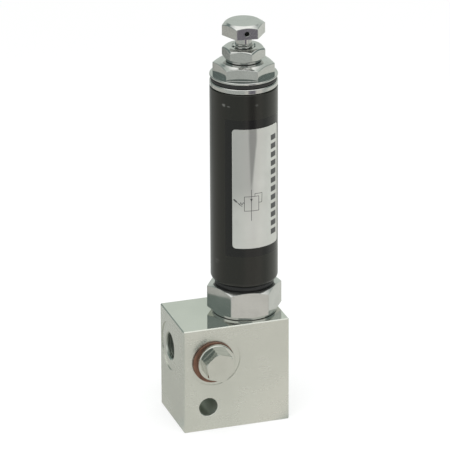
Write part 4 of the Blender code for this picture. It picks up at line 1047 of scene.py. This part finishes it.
def silverFilm():
    mat, shader, place = newMaterial("silver_film")
    sheet = place.node("ShaderNodeUVMap", {"uv_map": "sheet"})
    u, v = (part * (label["mapUnit"] / mm) for part in axes(sheet)[:2])

    def stroke(u0, v0, u1, v1, width):
        # Distance from (u, v) to the segment, less half the width
        dx, dy = u1 - u0, v1 - v0
        length = math.hypot(dx, dy)
        along = ((u - u0) * (dx / length) + (v - v0) * (dy / length)).atLeast(0.0).atMost(length)
        px, py = (u - u0) - along * (dx / length), (v - v0) - along * (dy / length)
        edge = printed["edge"]
        return smoothStep((px * px + py * py) ** 0.5, width / 2 + edge, width / 2 - edge)

    tip = printed["arrowEnd"]
    ink = stroke(*tip["line"][0], *tip["line"][1], tip["width"])
    for name in ("box", "flow", "pilot", "spring", "arrow"):
        for first, second in zip(printed[name], printed[name][1:]):
            ink = ink.atLeast(stroke(*first, *second, printed["line"]))
    # Arrowhead: a triangle that narrows towards its tip
    flow = printed["flowArrow"]
    inside = (v - flow["tip"]) * ((flow["tip"] + flow["length"]) - v)
    ink = ink.atLeast(((u - flow["across"]).size() < (v - flow["tip"]) * flow["slope"]) * (inside > 0.0))
    bars = printed["bars"]
    position = (v - bars["low"]) / bars["pitch"]
    across = (u > bars["left"]) * (u < bars["right"])
    upright = (v > bars["low"]) * (v < bars["high"])
    ink = ink.atLeast(across * upright * (position.maths("FRACT", position) < bars["share"]))

    # Painted reflection: a grey streak runs down from the top edge and narrows to a point
    streak = printed["streak"]
    along = ((v - streak["low"]) / (streak["high"] - streak["low"])).atLeast(0.0).atMost(1.0)
    middle, halfWidth = (a + along * (b - a) for a, b in (streak["across"], streak["halfWidth"]))
    shade = smoothStep((u - middle).size() - halfWidth, streak["edge"], -streak["edge"])

    film, left = printed["film"], printed["leftTone"]
    fine = noise(stretched(place, film["grain"]), 1.0)
    cloud = smoothStep(noise(place, film["cloudScale"], 3.0), 0.3, 0.7)
    tone = mixColor(cloud, film["color"], film["cloudColor"])
    # Painted shade: the label's upper left is darker
    tone = mixColor(smoothStep(u, *left["across"]) * smoothStep(v, *left["up"]), tone, left["color"])
    tone = mixColor(shade * smoothStep(v, *streak["fade"]), tone, streak["color"])
    feed(
        shader, Base_Color=mixColor(ink, tone, printed["ink"]), Metallic=film["metallic"] * (1.0 - ink),
        Roughness=film["rough"] + (fine - 0.5) * film["roughSpread"], Normal=bump(fine, film["depth"]),
    )
    return mat


addPiece("nameLabel", makeLabel(), silverFilm(), "root", ["label"])
print("label made")


# Springs, as tubes along a helix whose end turns are closed and ground flat, each made in stretches of turns.
# The main spring's foot rests on the piston's seat, its head under the screw's.

springs = {
    "main_spring": {
        "wire": 2.8 * mm, "coil": 11.0 * mm, "turns": 9.0,
        "stretches": {
            "mainSpringFoot": (0.0, 3.0, "piston", "root"),
            "mainSpring": (3.0, 9.0, "root", "spring_thrust"),
        },
    },
    "poppet_spring": {
        "wire": 0.38 * mm, "coil": 3.1 * mm, "turns": 4.5,
        "stretches": {"poppetSpring": (0.0, 4.5, "root", "poppet")},
    },
}


def coilHeight(turn, low, high, wire, turns):
    # Rises by one wire's thickness a turn at each end and evenly between
    first, last = low + 0.75 * wire, high - 0.75 * wire
    closed = 2 * wire + 0.3 * mm
    opened = (last - first - 2 * closed) / (turns - 2)
    ends = np.minimum(turn, 1.0) + np.maximum(turn - (turns - 1), 0.0)
    return first + closed * ends + opened * np.clip(turn - 1.0, 0.0, turns - 2)


def coilMesh(name, span, low, high, wire, coil, turns, perTurn=48, around=16):
    # Centreline: (coil cos a, coil sin a, h(a)); the section is a circle across it, and points beyond the
    # ends are brought to the ground faces
    turn = np.linspace(*span, int((span[1] - span[0]) * perTurn) + 1)
    height = coilHeight(turn, low, high, wire, turns)
    angle = math.tau * turn
    section = np.linspace(0.0, math.tau, around + 1)
    radius = coil + wire * np.cos(section)[None, :]
    z = np.clip(height[:, None] + wire * np.sin(section)[None, :], low, high)
    tube = np.stack([radius * np.cos(angle)[:, None], radius * np.sin(angle)[:, None], z], axis=-1)
    caps = [np.stack([tube[k], np.broadcast_to(tube[k].mean(axis=0), tube[k].shape)]) for k in (0, -1)]
    return meshFromGrids(name, [onAxis(g) for g in [tube, *caps]], sharp=50.0)


for node, spring in springs.items():
    low, high = (corner.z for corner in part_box(node))
    wire, turns = spring["wire"], spring["turns"]
    for name, (first, last, lowBody, highBody) in spring["stretches"].items():
        mesh = coilMesh(name, (first, last), low, high, wire, spring["coil"], turns)
        piece = addPiece(name, mesh, springSteel, replaces=[node])
        start = low if first == 0 else coilHeight(first, low, high, wire, turns) + wire
        end = high if last == turns else coilHeight(last, low, high, wire, turns) - wire
        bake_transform(piece)
print("springs wound")


# The pieces sealed inside keep their CAD shape

sealed = [
    (blackRubber, ["body_o_ring", "nose_o_ring", "piston_o_ring", "seat_o_ring"]),
    (plastic, ["nose_backup_ring", "piston_backup_ring"]),
    (ground, [
        "seat_ring", "valve_ball", "ball_carrier", "poppet_retainer", "sensing_piston", "lower_spring_seat",
        "upper_spring_seat", "thrust_ball",
    ]),
]
for mat, nodes in sealed:
    for node in nodes:
        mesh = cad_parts[node].data
        mesh.materials.clear()
        mesh.materials.append(mat)


# Studio: pale floor, soft lamps, white behind. A patch is an azimuth, its half width and softness in degrees,
# the edges it keeps to in a second measure, and its tone.

studio = {
    "white": (1.0, 1.0, 1.0),
    "floorSize": 6.0,
    "floorDrop": 0.05 * mm,
    "floorColor": (0.86, 0.86, 0.86),
    "floorGlow": 0.62,
    "glowEdges": (0.25, 1.2),
    "lamps": {
        "overhead": {"place": (-0.25, -0.45, 1.35), "size": 1.3, "power": 13.0},
        "side": {"place": (1.1, -0.5, 0.7), "size": 0.9, "power": 5.0},
    },
    "lampAim": (0.0, 0.0, 0.1),
    # The second measure is the distance from the object, in metres
    "mirroredFloor": (0.53, 0.555, 0.53),
    "floorPatches": [
        (-72, 23, 13, [], (0.765, 0.745, 0.70)),
        (145, 30, 20, [], (0.55, 0.555, 0.52)),
        (103, 10, 10, [], (0.60, 0.625, 0.605)),
        (25, 38, 20, [], (0.74, 0.755, 0.71)),
        (-110, 30, 25, [(0.20, 0.08)], (0.73, 0.725, 0.68)),
        (116, 4, 4, [(0.36, 0.44)], (0.30, 0.32, 0.30)),
        (-79, 9, 6, [(0.24, 0.42)], (0.20, 0.185, 0.22)),
    ],
    # The second measure is how far up the room the direction points
    "horizon": (0.20, 0.22, 0.22),
    "horizonEdges": (0.0, 0.07),
    "walls": (0.84, 0.86, 0.84),
    "roomPatches": [
        (71, 30, 14, [], (0.645, 0.70, 0.655)),
        (140, 30, 12, [(0.80, 0.66)], (0.19, 0.245, 0.235)),
        (2, 22, 12, [(0.80, 0.66)], (0.19, 0.245, 0.235)),
        (-105, 20, 8, [(0.12, 0.20), (0.52, 0.42)], (0.15, 0.19, 0.185)),
    ],
    "ceiling": (1.4, 1.4, 1.38),
    "ceilingEdges": (0.78, 0.94),
}


def sector(vector, azimuth, half, soft):
    # 1 where a vector's level part lies within `half` degrees of an azimuth, falling to 0 over `soft` more
    flat = vector.node("ShaderNodeVectorMath", {"operation": "MULTIPLY"}, {0: vector, 1: (1.0, 1.0, 0.0)})
    unit = flat.node("ShaderNodeVectorMath", {"operation": "NORMALIZE"}, {0: flat})
    aim = (math.cos(math.radians(azimuth)), math.sin(math.radians(azimuth)), 0.0)
    along = unit.node("ShaderNodeVectorMath", {"operation": "DOT_PRODUCT"}, {0: unit, 1: aim}, output=1)
    return smoothStep(along, math.cos(math.radians(half + soft)), math.cos(math.radians(half)))


def patched(tone, patches, vector, measure):
    # Lays the patches over a tone, one after another
    for azimuth, half, soft, edges, color in patches:
        patch = sector(vector, azimuth, half, soft)
        for low, high in edges:
            patch = patch * smoothStep(measure, low, high)
        tone = mixColor(patch, tone, color)
    return tone


def makeFloor():
    # The camera sees it white with a soft shadow; what the plated pieces mirror of it is greyer
    half = studio["floorSize"] / 2
    side = np.linspace(-half, half, 3)
    x, y = np.meshgrid(side, side, indexing="ij")
    mesh = meshFromGrids("floor", [np.stack([x, y, 0 * x - studio["floorDrop"]], axis=-1)])
    mat = bpy.data.materials.new("pale_floor")
    mat.use_nodes = True
    tree = mat.node_tree
    tree.nodes.clear()
    place = addNode(tree, "ShaderNodeTexCoord", output="Object")
    away = place.node("ShaderNodeVectorMath", {"operation": "LENGTH"}, {0: place}, output=1)
    camera = place.node("ShaderNodeLightPath", output="Is Camera Ray")
    glossy = place.node("ShaderNodeLightPath", output="Is Glossy Ray")
    glow = studio["floorGlow"]
    glow = camera * (glow + (1 - glow) * smoothStep(away, *studio["glowEdges"]))
    diffuse = place.node("ShaderNodeBsdfDiffuse", None, {"Color": studio["floorColor"]})
    white = place.node("ShaderNodeEmission", None, {"Color": studio["white"], "Strength": 1.0})
    seen = place.node("ShaderNodeMixShader", None, {0: glow, 1: diffuse, 2: white})
    tone = patched(studio["mirroredFloor"], studio["floorPatches"], place, away)
    mirrored = place.node("ShaderNodeEmission", None, {"Color": tone, "Strength": 1.0})
    mixed = place.node("ShaderNodeMixShader", None, {0: glossy, 1: seen, 2: mirrored})
    fill(tree, tree.nodes.new("ShaderNodeOutputMaterial").inputs["Surface"], mixed)
    mesh.materials.append(mat)
    floor = addObject("floor", mesh)
    floor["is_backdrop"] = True


def makeLamps():
    for name, lamp in studio["lamps"].items():
        data = bpy.data.lights.new(name, "AREA")
        data.shape = "DISK"
        data.size = lamp["size"]
        data.energy = lamp["power"]
        light = addObject(name, data)
        light.visible_glossy = False  # the plated pieces mirror the room alone
        light.location = lamp["place"]
        aim = Vector(studio["lampAim"]) - light.location
        light.rotation_euler = aim.to_track_quat("-Z", "Y").to_euler()


def makeWorld():
    # White for the camera; for the rest a soft room: a dark line where it meets the floor, a pale backdrop
    # behind the object, a dark gap on either side of that, a dark screen behind the camera, a bright ceiling
    world = bpy.data.worlds.new("studio")
    bpy.context.scene.world = world
    world.use_nodes = True
    tree = world.node_tree
    tree.nodes.clear()
    direction = addNode(tree, "ShaderNodeTexCoord", output="Generated")
    rise = axes(direction)[2]
    room = mixColor(smoothStep(rise, *studio["horizonEdges"]), studio["horizon"], studio["walls"])
    room = patched(room, studio["roomPatches"], direction, rise)
    room = mixColor(smoothStep(rise, *studio["ceilingEdges"]), room, studio["ceiling"])
    background = direction.node("ShaderNodeBackground", None, {"Color": room, "Strength": 1.0})
    white = direction.node("ShaderNodeBackground", None, {"Color": studio["white"], "Strength": 1.0})
    camera = direction.node("ShaderNodeLightPath", output="Is Camera Ray")
    mixed = direction.node("ShaderNodeMixShader", None, {0: camera, 1: background, 2: white})
    fill(tree, tree.nodes.new("ShaderNodeOutputWorld").inputs["Surface"], mixed)


makeFloor()
makeLamps()
makeWorld()
bpy.context.scene.view_settings.view_transform = "Standard"
print("studio lit")

low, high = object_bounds()
